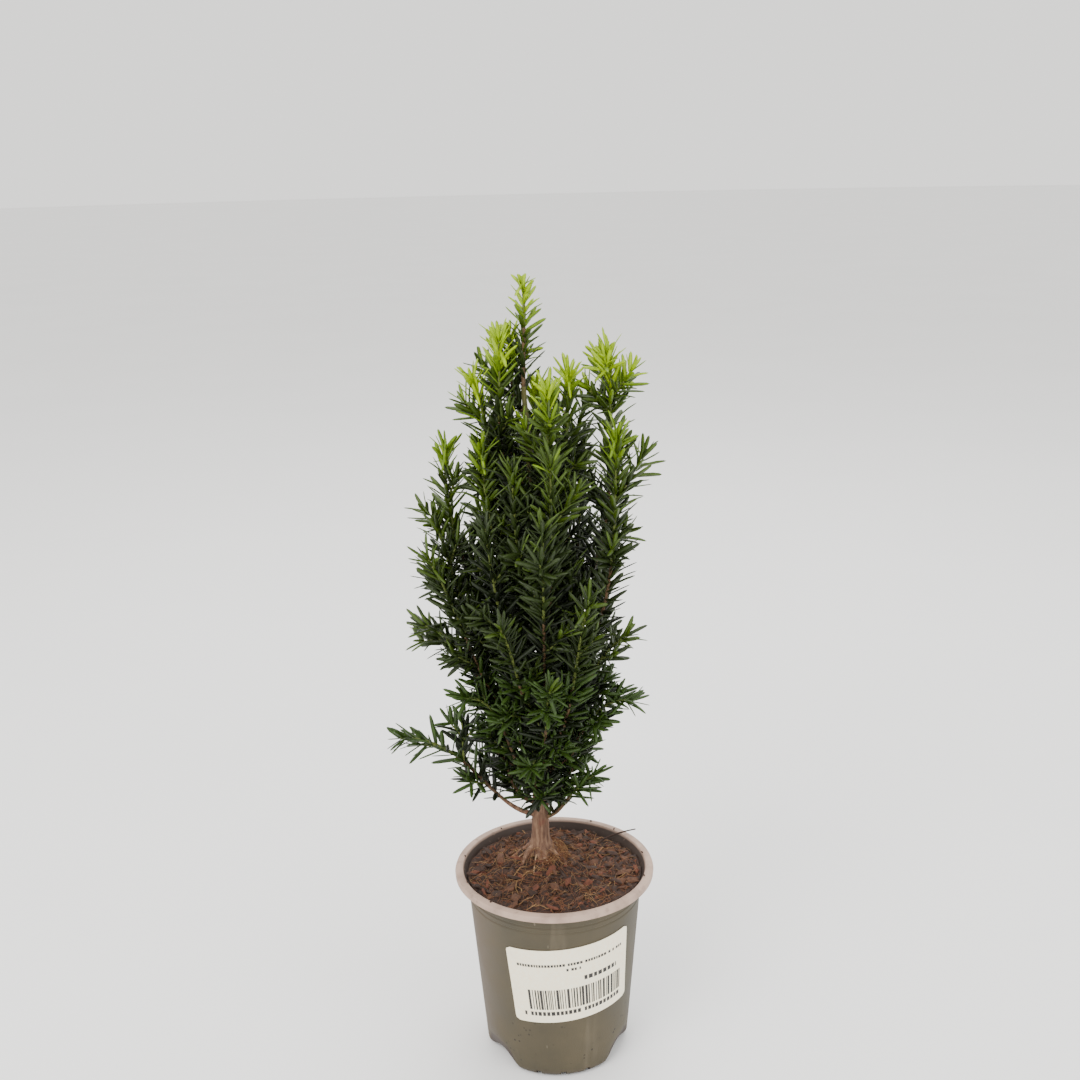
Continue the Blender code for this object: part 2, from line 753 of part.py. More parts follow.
def mass_mesh(shoot, path, space, seed):
    """A stem with its side twigs and needles, as one closed body."""
    rng = np.random.default_rng(seed)
    start = shoot.bare + GAP / length_of(path) if shoot.bare else 0.0
    flatten = 0.6 * max(0.0, 1 - max(0.0, shoot.lean) / 60)
    root = BOUGH_TIP_RADIUS if shoot.bare else STEM_RADIUS
    growth = Growth(space, rng, flatten)
    stem = twig(lambda share: path(mix(start, 1.0, share)), root, STEM_TIP_RADIUS, NEEDLE, growth)
    twigs = [
        twig(straight_path(*route), TWIG_RADIUS, TWIG_TIP_RADIUS, NEEDLE * 0.9, growth)
        for route in side_twigs(shoot, path, start, space, rng)
    ]
    if not twigs:
        return stem
    while twigs:
        for solver in ("EXACT", "MANIFOLD"):
            mesh = joined(stem, twigs, solver)
            if mesh.polygons and not open_edges(mesh):
                return mesh
        twigs.pop()
    return stem


def main():
    clear_scene()
    home = collection("potted_yew")
    plastic = material("taupe_plastic", (0.17, 0.14, 0.11), 0.5)
    bark_mix = material("bark_compost", (0.13, 0.06, 0.035), 0.95)
    paper = material("white_paper", (0.85, 0.83, 0.78), 0.6)
    bark = material("bark", (0.16, 0.09, 0.06), 0.9)
    foliage = material("needles", (0.05, 0.10, 0.025), 0.45)
    young = material("young_needles", (0.25, 0.38, 0.06), 0.45)

    make_pot(home, plastic)
    make_compost(home, bark_mix)
    make_label(home, paper)
    make_trunk(home, bark)

    leader = Shoot("leader", TRUNK_STATIONS[-1][0], 0, 0.0, LEADER_TOP, 90, 0.0, 0)
    shoots = (leader, *SHOOTS)
    paths = {shoot.name: shoot_path(shoot) for shoot in SHOOTS}
    paths[leader.name] = leader_path()
    stems = {shoot.name: samples(paths[shoot.name], shoot.bare, 1.0) for shoot in shoots}
    limbs = limb_samples(shoots, paths)
    for shoot in shoots:
        if shoot.bare:
            make_bough(shoot, paths[shoot.name], home, bark)
    for seed, shoot in enumerate(shoots):
        others = np.vstack([stems[name] for name in stems if name != shoot.name])
        near = np.linalg.norm(limbs[:, :3] - np.array(tuple(paths[shoot.name](shoot.bare))), axis=1)
        space = Space(stems[shoot.name], others, limbs[near > 0.002])
        mesh = mass_mesh(shoot, paths[shoot.name], space, seed)
        place(f"foliage_{shoot.name}", mesh, young if shoot.top > YOUNG_HEIGHT else foliage, home)


main()
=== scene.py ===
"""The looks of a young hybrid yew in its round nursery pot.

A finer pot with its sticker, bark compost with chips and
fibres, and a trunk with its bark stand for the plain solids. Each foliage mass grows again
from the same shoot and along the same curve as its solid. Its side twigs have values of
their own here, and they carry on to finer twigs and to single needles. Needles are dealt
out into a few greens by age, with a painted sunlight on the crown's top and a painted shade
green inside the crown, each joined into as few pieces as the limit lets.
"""

import bpy
import bmesh
import math
import numpy as np
from dataclasses import dataclass
from mathutils import Matrix, Vector, noise


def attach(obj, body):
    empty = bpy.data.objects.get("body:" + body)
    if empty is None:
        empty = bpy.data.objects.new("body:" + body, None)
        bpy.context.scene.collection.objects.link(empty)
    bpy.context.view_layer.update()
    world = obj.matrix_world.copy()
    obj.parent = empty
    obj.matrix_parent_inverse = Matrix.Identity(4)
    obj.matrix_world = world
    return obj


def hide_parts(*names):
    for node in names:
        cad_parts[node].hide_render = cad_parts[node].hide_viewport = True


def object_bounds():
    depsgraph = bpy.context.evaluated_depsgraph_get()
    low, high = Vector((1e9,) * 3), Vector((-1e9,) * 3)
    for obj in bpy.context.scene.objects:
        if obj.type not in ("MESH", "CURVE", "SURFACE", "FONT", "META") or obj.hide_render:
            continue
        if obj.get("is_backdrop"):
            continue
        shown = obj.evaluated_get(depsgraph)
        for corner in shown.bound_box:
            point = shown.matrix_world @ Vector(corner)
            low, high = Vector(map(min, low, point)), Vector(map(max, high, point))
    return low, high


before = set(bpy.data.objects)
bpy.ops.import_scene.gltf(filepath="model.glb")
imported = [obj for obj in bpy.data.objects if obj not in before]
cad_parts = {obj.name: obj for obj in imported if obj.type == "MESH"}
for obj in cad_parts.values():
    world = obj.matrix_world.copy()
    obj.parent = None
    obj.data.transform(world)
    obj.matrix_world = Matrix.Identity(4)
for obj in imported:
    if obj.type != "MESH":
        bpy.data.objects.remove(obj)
cad_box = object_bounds()

UP = np.array((0.0, 0.0, 1.0))
GAP = 0.0003  # between pieces that don't touch

# Camera, fitted to the photograph
EYE = (-0.004647, -0.780875, 0.577469)
LOOKS_DOWN = 0.282391
ROLLS = -0.022017
LENS = 44.37
SENSOR = 36.0

# Pot
POT_HEIGHT = 0.130
RIM_RADIUS = 0.065
RIM_LIP = 0.0052
RIM_BREADTH = 0.0056
LIP_HEIGHT = POT_HEIGHT - RIM_LIP
WALL_TOP_RADIUS = 0.0572
FOOT_RADIUS = 0.0474
WALL = 0.0014
FLOOR = 0.0030
FOOT_CORNER = 0.0060
POT_SEGMENTS = 180
FEET = 3
FOOT_TURN = math.radians(-86)
RECESS_WIDTH = math.radians(23)
RECESS_HEIGHT = 0.022
RECESS_DEPTH = 0.0056
RECESS_LIFT = 0.9
RECESS_FADES = (1.5, 1.6)  # round the wall and upward
SLOTS_PER_FOOT = 3
SLOT_STEP = math.radians(20)
SLOT_SIZE = (0.009, 0.0036, 0.009)
STEP_HEIGHTS = (0.1165, 0.1125)
STEP_DEPTH = 0.00038

# How strongly each mark shows on the pot
WARM_SIDE = 0.55
SCUFFS = 0.30
SPECKS = 0.9
RIM_BLOTCHES = 0.35
NICKS = 0.3

# Compost
COMPOST_EDGE = 0.1232
COMPOST_FRONT_RISE = 0.0052
COMPOST_LUMP = 0.0016
SEAT_HEIGHT = 0.1317
MOUND_BREADTH = 0.026
BED_RINGS = 46
BED_SEGMENTS = 120
BED_SKIRT = ((0.112, 1.0), (0.034, 1.0), (0.004, 0.72))  # height and share of the inside
CHIPS = 1150
LARGE_CHIPS = 0.20  # as a share of all
CHIP_ODDS = {"dark": 0.46, "brown": 0.32, "red": 0.22}
FIBRES = 760
HEAP_FIBRES = 260
STRAWS = 16
STRAW_ODDS = 0.30
OFF_EDGE = 0.0020
OFF_TRUNK = 0.012

# Crumbs on the rim: their bearings in degrees, height and highest point
CRUMB_BEARINGS = (128, 101, 63, 44, 12, -20, -160, 172, -133)
CRUMB_HEIGHT = 0.1303
CRUMB_TOP = 0.1312

# The dead twig over the rim: bearing in degrees, distance out and height at each end
DEAD_TWIG = ((46, 0.045, 0.1262), (33, 0.0668, 0.1335))
DEAD_TWIG_RADIUS = 0.0007

# Finish, dark colour, light colour and grain of what the compost is made of
COMPOST_KINDS = {
    "dark": ("chip_dark", (34, 21, 15), (62, 40, 29), 500.0),
    "brown": ("chip_brown", (60, 37, 25), (98, 64, 43), 500.0),
    "red": ("chip_red", (74, 38, 25), (108, 62, 42), 500.0),
    "straw": ("straw_pale", (110, 80, 50), (162, 128, 86), 700.0),
    "red_fibre": ("fibre_red", (92, 55, 34), (132, 87, 56), 700.0),
}

# Label
LABEL_WIDTH = 0.083
LABEL_HEIGHT = 0.055
LABEL_THICKNESS = 0.0004
LABEL_CORNER = 0.0030
LABEL_TURN = math.radians(-78.5)
LABEL_MIDDLE = 0.0735
LABEL_TILT = math.radians(4)
PRINT_LIFT = 0.00006
LABEL_COLUMNS = 60
LABEL_ROWS = 40

# Print, from the sticker's middle: bars that say nothing, and the left end, right end,
# height and size of each line of strokes
BARS = (-0.030, 0.034)
BAR_HEIGHTS = (-0.0175, -0.0025)
BAR_WIDTHS = (0.0006, 0.0010, 0.0016)
BAR_SPACES = (0.0005, 0.0008, 0.0011)
PRINT_LINES = (
    (-0.035, 0.036, 0.0150, 0.0019),
    (-0.004, 0.006, 0.0110, 0.0019),
    (0.007, 0.031, 0.0020, 0.0032),
    (-0.034, 0.034, -0.0222, 0.0030),
)

# Trunk: height, x, y and radius of each station, from the flat cut to the fork
TRUNK_STATIONS = (
    (0.1320, -0.0085, 0.0135, 0.0066),
    (0.1380, -0.0085, 0.0133, 0.0063),
    (0.1520, -0.0085, 0.0126, 0.0056),
    (0.1900, -0.0075, 0.0110, 0.0050),
    (0.2600, -0.0040, 0.0060, 0.0042),
    (0.3300, -0.0050, 0.0030, 0.0032),
    (0.4000, -0.0100, 0.0030, 0.0021),
    (0.4450, -0.0125, 0.0040, 0.0014),
)
TRUNK_FOOT = Vector((-0.0085, 0.0135, 0.1320))
TRUNK_SIDES = 44
TRUNK_RINGS = 190
FLARE_HEIGHT = 0.013
FLARE_SPREAD = 1.0
FLARE_ROOTS = 5
BARK_RELIEF = 0.00042
LEADER_TOP = 0.5145
LEADER_TIP = (-0.0115, 0.0050)

# Roots: bearing in radians, reach, rise over the compost and radius
ROOT_STEPS = 10
BARK_ROOTS = (
    (-2.55, 0.020, 0.0075, 0.0021),
    (-1.75, 0.017, 0.0060, 0.0024),
    (-0.75, 0.019, 0.0065, 0.0022),
    (0.35, 0.018, 0.0055, 0.0020),
    (1.90, 0.018, 0.0050, 0.0022),
    (3.05, 0.021, 0.0058, 0.0019),
)
PALE_ROOTS = (
    (-1.95, 0.034, 0.0030, 0.0006),
    (-1.45, 0.016, 0.0085, 0.0007),
    (-2.9, 0.026, 0.0028, 0.0005),
    (-0.35, 0.024, 0.0030, 0.0005),
)

# Scale of the grain, its stretch, where the dark colour ends, and roughness
ROOT_GRAIN = (600.0, 0.4, 0.30, 0.8)
TWIG_GRAIN = (500.0, 0.5, 0.32, 0.7)

# Boughs, stems and twigs
BOUGH_RADIUS = 0.0019
BOUGH_TIP_RADIUS = 0.0012
STEM_RADIUS = 0.0014
STEM_TIP_RADIUS = 0.0007
TWIG_RADIUS = 0.0008
TWIG_TIP_RADIUS = 0.0005
BOUGH_STEPS = 24
BOUGH_OVERLAP = 1.04
LEAVE_ANGLE = math.radians(18)
STEM_STEPS = 26
BROWN_STEPS = 14
TWIG_LENGTH = 0.023
TWIG_SHARE = 0.60  # of the stem that is left above the twig
TWIG_LIFT = 0.16
TWIG_STEPS = 9
TWIG_ANGLE = math.radians(44)
TWIGLET_FROM = (0.014, 0.022)  # length of a twig that has one twiglet, and two
GOLDEN_ANGLE = math.radians(137.5)
TIP_REACH = 0.008
SPRAY_LEAN = 65
TRUNK_TWIGS = 46
TRUNK_TWIG_HEIGHTS = (0.174, 0.400)
STRONG_TIP_TWIGS = (0.78, 0.83, 0.88, 0.92)  # more twigs near the tip of right_tall

# How much a twig that points backward is stretched, and how far those of the back shoots
# turn that way. The photo doesn't show the back: these were set by trying, for the outline
# check, and they push one twig of right_tall out past the photo's outline.
BACK_REACH = 0.9
BACKWARD = np.array((0.0, 1.3, 0.0))

# What needles keep clear of: the pot, the frame's box and a cone round the trunk's neck
OVER_POT = 0.003
BESIDE_POT = 0.004
OFF_BOX = 0.0005
NECK_TOP = 0.158
NECK_SLOPE = 0.54
NECK_REACH = 0.034

# Needles
NEEDLE = 0.0192
NEEDLE_WIDTH = 0.0031
NEEDLE_SPACING = 0.00112
NEEDLE_KEEL = 0.14
NEEDLE_SHARES = (0.0, 0.08, 0.32, 0.70, 0.91)
NEEDLE_BREADTHS = (0.40, 0.84, 1.0, 0.96, 0.66)
NEEDLE_ANGLE = math.radians(51)
NEEDLE_TIP_ANGLE = math.radians(27)
NEEDLE_ROLL = 0.55
NEEDLE_FITS = (1.0, 0.8, 0.62)  # shares of its length tried until a needle is clear
TIP_NEEDLES = 9
TUFT_FROM = 0.95
TUFT_SPREAD = 0.50
TIP_FROM = 0.72
TIP_SPAN = 0.28
TIP_SIZE = 0.80
YOUNG_SIZE = 0.62
FOOT_SHARE = 0.12
FOOT_SIZE = 0.75
PIECE_LIMIT = 190000  # triangles in one piece

# Vigour of a needle, which picks its green: at the foot, what the way to the tip adds, what
# a young tip adds and by which power, what the very tip adds and where it begins
STEM_VIGOUR = (0.36, 0.20, 0.34, 2.2, 0.09, 0.86)
TWIG_VIGOUR = (0.34, 0.20, 0.30, 2, 0.07, 0.75)
TRUNK_TWIG_VIGOUR = (0.30, 0.16)
TWIG_YOUTH = 0.55
YOUNG_TIPS = (0.395, 0.055)  # height of a tip that begins to be young, and the rest of it
YOUNG_HEIGHT = 0.440
# Painted sunlight on the crown's top: needles above this height, over this depth, gain this much
# vigour and take lighter greens
SUNLIT_HEIGHT = 0.425
SUNLIT_DEPTH = 0.060
SUNLIT_VIGOUR = 0.32
LOWER_HEIGHT = 0.27

# Studio: name, spot, size, power and tint of each light, and what they point at
LIGHTS = (
    ("key", (-0.9, -1.3, 1.7), 1.3, 36.0, (1.0, 0.98, 0.95)),
    ("fill", (1.5, -1.0, 1.0), 1.6, 12.0, (0.95, 0.98, 1.0)),
    ("top", (0.2, 0.9, 1.9), 1.4, 26.0, (1.0, 1.0, 1.0)),
)
LIT_SPOT = (0.0, 0.0, 0.22)
ROOM_TINT = (1.0, 0.99, 0.96, 1.0)
ROOM_LIGHT = 1.5
FLOOR_RADIUS = 20.0


@dataclass
class Shoot:
    """One bough with its foliage, named for where it stands in the crown."""

    name: str
    leaves: float  # height at which it leaves the trunk
    azimuth: float  # degrees, 0 to the right, 90 to the back
    reach: float  # from the trunk's axis out to its furthest needle tips
    top: float  # height of those tips
    lean: float  # degrees above level of its outer end
    bare: float  # share of its length that is bare bough, 0 for none
    twigs: int  # side twigs on its solid's stem


SHOOTS = (
    Shoot("top_left_inner", 0.430, 138, 0.014, 0.479, 80, 0.00, 0),
    Shoot("top_left_outer", 0.385, -170, 0.018, 0.481, 88, 0.00, 1),
    Shoot("upper_left", 0.362, -178, 0.038, 0.457, 70, 0.00, 2),
    Shoot("top_front", 0.355, -72, 0.027, 0.454, 86, 0.00, 2),
    Shoot("top_right", 0.378, 4, 0.023, 0.459, 88, 0.00, 1),
    Shoot("right_tall", 0.300, 8, 0.043, 0.471, 92, 0.20, 2),
    Shoot("right_column", 0.262, -24, 0.050, 0.428, 89, 0.20, 2),
    Shoot("left_tall", 0.285, 180, 0.056, 0.416, 93, 0.20, 3),
    Shoot("left_inner", 0.318, -152, 0.038, 0.421, 88, 0.00, 2),
    Shoot("left_shoulder", 0.255, -170, 0.066, 0.373, 76, 0.20, 3),
    Shoot("left_middle", 0.225, -158, 0.075, 0.353, 62, 0.20, 3),
    Shoot("left_feather", 0.205, -168, 0.079, 0.302, 25, 0.20, 2),
    Shoot("left_low", 0.187, -143, 0.064, 0.259, 12, 0.20, 2),
    Shoot("lowest_left", 0.160, -160, 0.099, 0.231, 8, 0.25, 2),
    Shoot("lowest_right", 0.158, -26, 0.045, 0.198, 30, 0.00, 1),
    Shoot("right_middle", 0.222, -36, 0.070, 0.302, 35, 0.20, 2),
    Shoot("right_low", 0.192, -22, 0.069, 0.249, 2, 0.22, 2),
    Shoot("front_high", 0.290, -80, 0.040, 0.415, 84, 0.00, 2),
    Shoot("front_middle", 0.240, -88, 0.054, 0.379, 80, 0.18, 3),
    Shoot("front_high_left", 0.305, -116, 0.036, 0.408, 86, 0.00, 2),
    Shoot("front_right", 0.212, -62, 0.066, 0.334, 66, 0.00, 2),
    Shoot("front_left", 0.228, -112, 0.067, 0.317, 50, 0.00, 2),
    Shoot("front_low", 0.198, -84, 0.067, 0.276, 35, 0.00, 2),
    Shoot("front_lowest", 0.169, -98, 0.048, 0.214, 15, 0.00, 1),
    Shoot("left_front", 0.265, -134, 0.048, 0.374, 82, 0.00, 2),
    Shoot("back_top", 0.352, 86, 0.026, 0.448, 86, 0.00, 1),
    Shoot("back_high_left", 0.300, 130, 0.043, 0.405, 84, 0.00, 2),
    Shoot("back_high_right", 0.285, 52, 0.046, 0.414, 86, 0.00, 2),
    Shoot("back_middle", 0.250, 92, 0.056, 0.372, 80, 0.20, 2),
    Shoot("back_left", 0.222, 138, 0.064, 0.338, 62, 0.00, 2),
    Shoot("back_right", 0.218, 40, 0.066, 0.345, 66, 0.00, 2),
    Shoot("back_low", 0.190, 112, 0.064, 0.262, 25, 0.00, 1),
    Shoot("back_low_right", 0.178, 40, 0.062, 0.240, 20, 0.00, 1),
    Shoot("core_low_left", 0.168, -176, 0.028, 0.250, 80, 0.00, 1),
    Shoot("core_low_right", 0.174, -8, 0.030, 0.262, 82, 0.00, 1),
    Shoot("core_left", 0.238, -140, 0.026, 0.318, 84, 0.00, 1),
    Shoot("core_right", 0.246, -45, 0.027, 0.345, 86, 0.00, 1),
    Shoot("core_back", 0.232, 70, 0.027, 0.325, 84, 0.00, 1),
    Shoot("core_high", 0.325, 35, 0.020, 0.410, 86, 0.00, 0),
    Shoot("core_back_low", 0.172, 88, 0.028, 0.262, 84, 0.00, 1),
    Shoot("core_back_high", 0.300, 88, 0.026, 0.392, 87, 0.00, 0),
    Shoot("core_back_left", 0.262, 150, 0.027, 0.345, 84, 0.00, 1),
    Shoot("core_front", 0.275, -62, 0.020, 0.372, 88, 0.00, 0),
)
LEADER = Shoot("leader", TRUNK_STATIONS[-1][0], 0, 0.0, LEADER_TOP, 90, 0.0, 0)

# Needle greens from the youngest to the oldest, then a painted shade green for the least vigorous
# needles inside the crown and a green for low in the crown, as red, green and blue out of 255
GREENS = {
    "young": (142, 170, 2),
    "fresh": (100, 128, 8),
    "mature": (60, 80, 12),
    "old": (38, 52, 12),
    "shade": (22, 31, 10),
    "lower": (46, 68, 16),
}
GREEN_FROM = {"young": 0.93, "fresh": 0.80, "mature": 0.60, "old": 0.42}


# Shader maths


def paint(red, green, blue):
    """A colour given as it looks on a screen, as the shader's own linear values."""
    parts = [part / 255 for part in (red, green, blue)]
    linear = [((p + 0.055) / 1.055) ** 2.4 if p > 0.04045 else p / 12.92 for p in parts]
    return (*linear, 1.0)


class Field:
    """A socket of a finish, so that shader maths reads as plain arithmetic."""

    def __init__(self, finish, socket):
        self.finish = finish
        self.socket = socket

    def maths(self, operation, first, second):
        return self.finish.node("ShaderNodeMath", {"operation": operation}, {0: first, 1: second})

    def __add__(self, other):
        return self.maths("ADD", self, other)

    def __sub__(self, other):
        return self.maths("SUBTRACT", self, other)

    def __rsub__(self, other):
        return self.maths("SUBTRACT", other, self)

    def __mul__(self, other):
        return self.maths("MULTIPLY", self, other)

    __radd__ = __add__
    __rmul__ = __mul__


class Finish:
    """A material made node by node round one Principled shader."""

    def __init__(self, name):
        self.made = bpy.data.materials.new(name)
        self.made.use_nodes = True
        self.tree = self.made.node_tree
        self.shader = self.tree.nodes["Principled BSDF"]

    def node(self, kind, settings, values, output=0):
        """A node with its settings made first, then its sockets fed by number or name."""
        made = self.tree.nodes.new(kind)
        for name, setting in settings.items():
            if name == "stops":
                set_stops(made.color_ramp, setting)
            else:
                setattr(made, name, setting)
        for name, value in values.items():
            self.feed(made.inputs[name], value)
        return Field(self, made.outputs[output])

    def feed(self, socket, value):
        if isinstance(value, Field):
            self.tree.links.new(value.socket, socket)
        else:
            socket.default_value = value

    def wear(self, **values):
        """Feed the shader's own sockets, their spaces written as underscores."""
        for name, value in values.items():
            self.feed(self.shader.inputs[name.replace("_", " ")], value)
        return self.made

    def place(self, stretch=(1.0, 1.0, 1.0)):
        """The spot on the piece in metres, stretched along each axis."""
        spot = self.node("ShaderNodeTexCoord", {}, {}, "Object")
        scale = {"operation": "MULTIPLY"}
        return self.node("ShaderNodeVectorMath", scale, {0: spot, 1: stretch})

    def height(self):
        return self.node("ShaderNodeSeparateXYZ", {}, {0: self.place()}, "Z")

    def across(self):
        return self.node("ShaderNodeSeparateXYZ", {}, {0: self.place()}, "X")

    def from_axis(self):
        """Distance from the pot's upright axis."""
        level = self.place((1.0, 1.0, 0.0))
        return self.node("ShaderNodeVectorMath", {"operation": "LENGTH"}, {0: level}, "Value")

    def noise(self, scale, detail=3.0, roughness=0.55, stretch=(1.0, 1.0, 1.0)):
        values = {
            "Vector": self.place(stretch),
            "Scale": scale,
            "Detail": detail,
            "Roughness": roughness,
        }
        return self.node("ShaderNodeTexNoise", {}, values)

    def cells(self, scale):
        values = {"Vector": self.place(), "Scale": scale}
        return self.node("ShaderNodeTexVoronoi", {}, values)

    def between(self, value, low, high, low_gives=0.0, high_gives=1.0):
        """Value carried from one range to another and held inside it."""
        values = {0: value, 1: low, 2: high, 3: low_gives, 4: high_gives}
        return self.node("ShaderNodeMapRange", {"interpolation_type": "SMOOTHSTEP"}, values)

    def ramp(self, value, *stops):
        return self.node("ShaderNodeValToRGB", {"stops": stops}, {0: value})

    def shades(self, value, dark, light, low=0.30, high=0.70):
        """Two colours laid out over a value, each as red, green and blue out of 255."""
        return self.ramp(value, (low, paint(*dark)), (high, paint(*light)))

    def blend(self, share, first, second):
        values = {0: share, 6: first, 7: second}
        return self.node("ShaderNodeMix", {"data_type": "RGBA"}, values, 2)

    def bump(self, height, distance):
        return self.node("ShaderNodeBump", {}, {"Height": height, "Distance": distance})


def set_stops(ramp, stops):
    while len(ramp.elements) < len(stops):
        ramp.elements.new(0.5)
    for element, (position, colour) in zip(ramp.elements, stops):
        element.position = position
        element.color = colour


# Meshes


def mix(a, b, share):
    return a + (b - a) * share


def unit(vectors):
    """Vectors along the last axis, each brought to length 1."""
    return vectors / np.maximum(np.linalg.norm(vectors, axis=-1, keepdims=True), 1e-9)


def turn_of(step, steps):
    """The angle of a step, or of a row of them, where so many make a full turn."""
    return step * 2 * math.pi / steps


def round_at(radius, turn, height):
    """A spot at a distance, a bearing and a height from the pot's middle."""
    return (radius * math.cos(turn), radius * math.sin(turn), height)


def placed(name, data):
    """A new object in the scene for a mesh, a light or a camera."""
    made = bpy.data.objects.new(name, data)
    bpy.context.scene.collection.objects.link(made)
    return made


def mesh_of(name, spots, triangles):
    mesh = bpy.data.meshes.new(name)
    mesh.vertices.add(len(spots))
    mesh.vertices.foreach_set("co", np.ascontiguousarray(spots, dtype=np.float32).ravel())
    mesh.loops.add(triangles.size)
    mesh.loops.foreach_set("vertex_index", triangles.astype(np.int32).ravel())
    mesh.polygons.add(len(triangles))
    mesh.polygons.foreach_set("loop_start", np.arange(0, triangles.size, 3, dtype=np.int32))
    mesh.update(calc_edges=True)
    mesh.validate()
    return mesh


def piece(name, mesh, finish, slot, *nodes, sharp=None):
    """A shown piece that rides with the plant, wears a finish and stands for CAD nodes."""
    mesh.materials.clear()
    mesh.materials.append(finish)
    mesh.shade_smooth()
    if sharp is not None:
        mesh.set_sharp_from_angle(angle=math.radians(sharp))
    made = placed(name, mesh)
    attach(made, "root")
    if nodes:
        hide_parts(*nodes)


class Pile:
    """Many small forms gathered to be joined into one mesh."""

    def __init__(self):
        self.spots = []
        self.triangles = []
        self.count = 0

    def add(self, spots, triangles):
        self.spots.append(spots)
        self.triangles.append(triangles + self.count)
        self.count += len(spots)

    def mesh(self, name):
        return mesh_of(name, np.vstack(self.spots), np.vstack(self.triangles))


def grid_triangles(rows, columns, closed):
    """Faces of a grid whose spots run row by row, its columns joined up if it is closed."""
    found = []
    for row in range(rows - 1):
        for column in range(columns if closed else columns - 1):
            after = (column + 1) % columns
            a = row * columns + column
            b = row * columns + after
            found += [(a, b, b + columns), (a, b + columns, a + columns)]
    return np.array(found)


def capped_triangles(rings, sides):
    """Faces of a row of rings and of both its ends, whose middles come after the rings."""
    last = (rings - 1) * sides
    middle = rings * sides
    ends = []
    for i in range(sides):
        after = (i + 1) % sides
        ends += [(middle, after, i), (middle + 1, last + i, last + after)]
    return np.vstack([grid_triangles(rings, sides, True), np.array(ends)])


def carried_frames(points):
    """Headings along a path and a side direction carried along it without twist."""
    headings = unit(np.gradient(points, axis=0))
    sides = []
    side = np.cross(headings[0], (0.31, 0.92, 0.24))
    for heading in headings:
        side = side - heading * side.dot(heading)
        side = side / np.linalg.norm(side)
        sides.append(side)
    return headings, np.array(sides)


def tube(points, radii, sides):
    """A round tube through points that is closed at both ends."""
    points = np.asarray(points, float)
    radii = np.asarray(radii, float)
    headings, across = carried_frames(points)
    upward = np.cross(headings, across)
    angles = turn_of(np.arange(sides), sides)
    ring = across[:, None] * np.cos(angles)[None, :, None]
    ring = ring + upward[:, None] * np.sin(angles)[None, :, None]
    spots = (points[:, None] + ring * radii[:, None, None]).reshape(-1, 3)
    spots = np.vstack([spots, points[:1], points[-1:] + headings[-1:] * radii[-1]])
    return spots, capped_triangles(len(points), sides)


def evaluated_mesh(thing):
    """The mesh of an object as its modifiers leave it, the object itself removed."""
    bpy.context.view_layer.update()
    seen = thing.evaluated_get(bpy.context.evaluated_depsgraph_get())
    mesh = bpy.data.meshes.new_from_object(seen)
    bpy.data.objects.remove(thing, do_unlink=True)
    return mesh


# Pot


def wall_radius(height):
    """Outer radius of the pot's tapered wall."""
    share = (height - FOOT_CORNER) / (LIP_HEIGHT - FOOT_CORNER)
    return mix(FOOT_RADIUS, WALL_TOP_RADIUS, share)


def pot_profile():
    """Rolled rim, wall with two faint steps, rounded foot, then the inside back up."""
    lip = LIP_HEIGHT
    foot = wall_radius(FOOT_CORNER)
    rim = [
        (RIM_RADIUS - RIM_BREADTH, POT_HEIGHT - 0.0017),
        (RIM_RADIUS - RIM_BREADTH + 0.0006, POT_HEIGHT - 0.0005),
        (RIM_RADIUS - RIM_BREADTH + 0.0018, POT_HEIGHT),
        (RIM_RADIUS - 0.0022, POT_HEIGHT - 0.0001),
        (RIM_RADIUS - 0.0006, POT_HEIGHT - 0.0008),
        (RIM_RADIUS, POT_HEIGHT - 0.0024),
        (RIM_RADIUS - 0.0002, lip + 0.0006),
        (RIM_RADIUS - 0.0012, lip),
        (RIM_RADIUS - 0.0030, lip + 0.0006),
        (wall_radius(lip) + 0.0004, lip + 0.0008),
    ]
    wall = [(wall_radius(lip - 0.004), lip - 0.004)]
    for height in STEP_HEIGHTS:
        radius = wall_radius(height)
        wall += [
            (radius, height + 0.0004),
            (radius - STEP_DEPTH, height),
            (radius - STEP_DEPTH, height - 0.0008),
            (wall_radius(height - 0.0012), height - 0.0012),
        ]
    wall += [(wall_radius(h), h) for h in np.linspace(0.100, 0.012, 23)]
    turn = [
        (foot - FOOT_CORNER * (1 - math.cos(a)), FOOT_CORNER * (1 - math.sin(a)))
        for a in np.linspace(0.0, math.pi / 2, 7)
    ]
    under = [(FOOT_RADIUS * share, 0.0) for share in (0.7, 0.35, 0.0)]
    inside = [
        (0.0, FLOOR),
        (FOOT_RADIUS * 0.5, FLOOR),
        (foot - FOOT_CORNER, FLOOR),
        (foot - WALL * 1.6, FOOT_CORNER + 0.002),
        (wall_radius(RECESS_HEIGHT) - WALL, RECESS_HEIGHT),
        (wall_radius(0.070) - WALL, 0.070),
        (wall_radius(lip) - WALL, lip - 0.001),
    ]
    return rim + wall + turn + under + inside + rim[:1]


def turned(name, profile, segments):
    """A closed body turned about Z from a profile."""
    mesh = bpy.data.meshes.new(name)
    points = [(radius, 0.0, height) for radius, height in profile]
    mesh.from_pydata(points, [(i, i + 1) for i in range(len(points) - 1)], [])
    thing = placed(name, mesh)
    screw = thing.modifiers.new("Turn", "SCREW")
    screw.steps = screw.render_steps = segments
    screw.use_merge_vertices = True
    screw.merge_threshold = 0.00001
    return evaluated_mesh(thing)


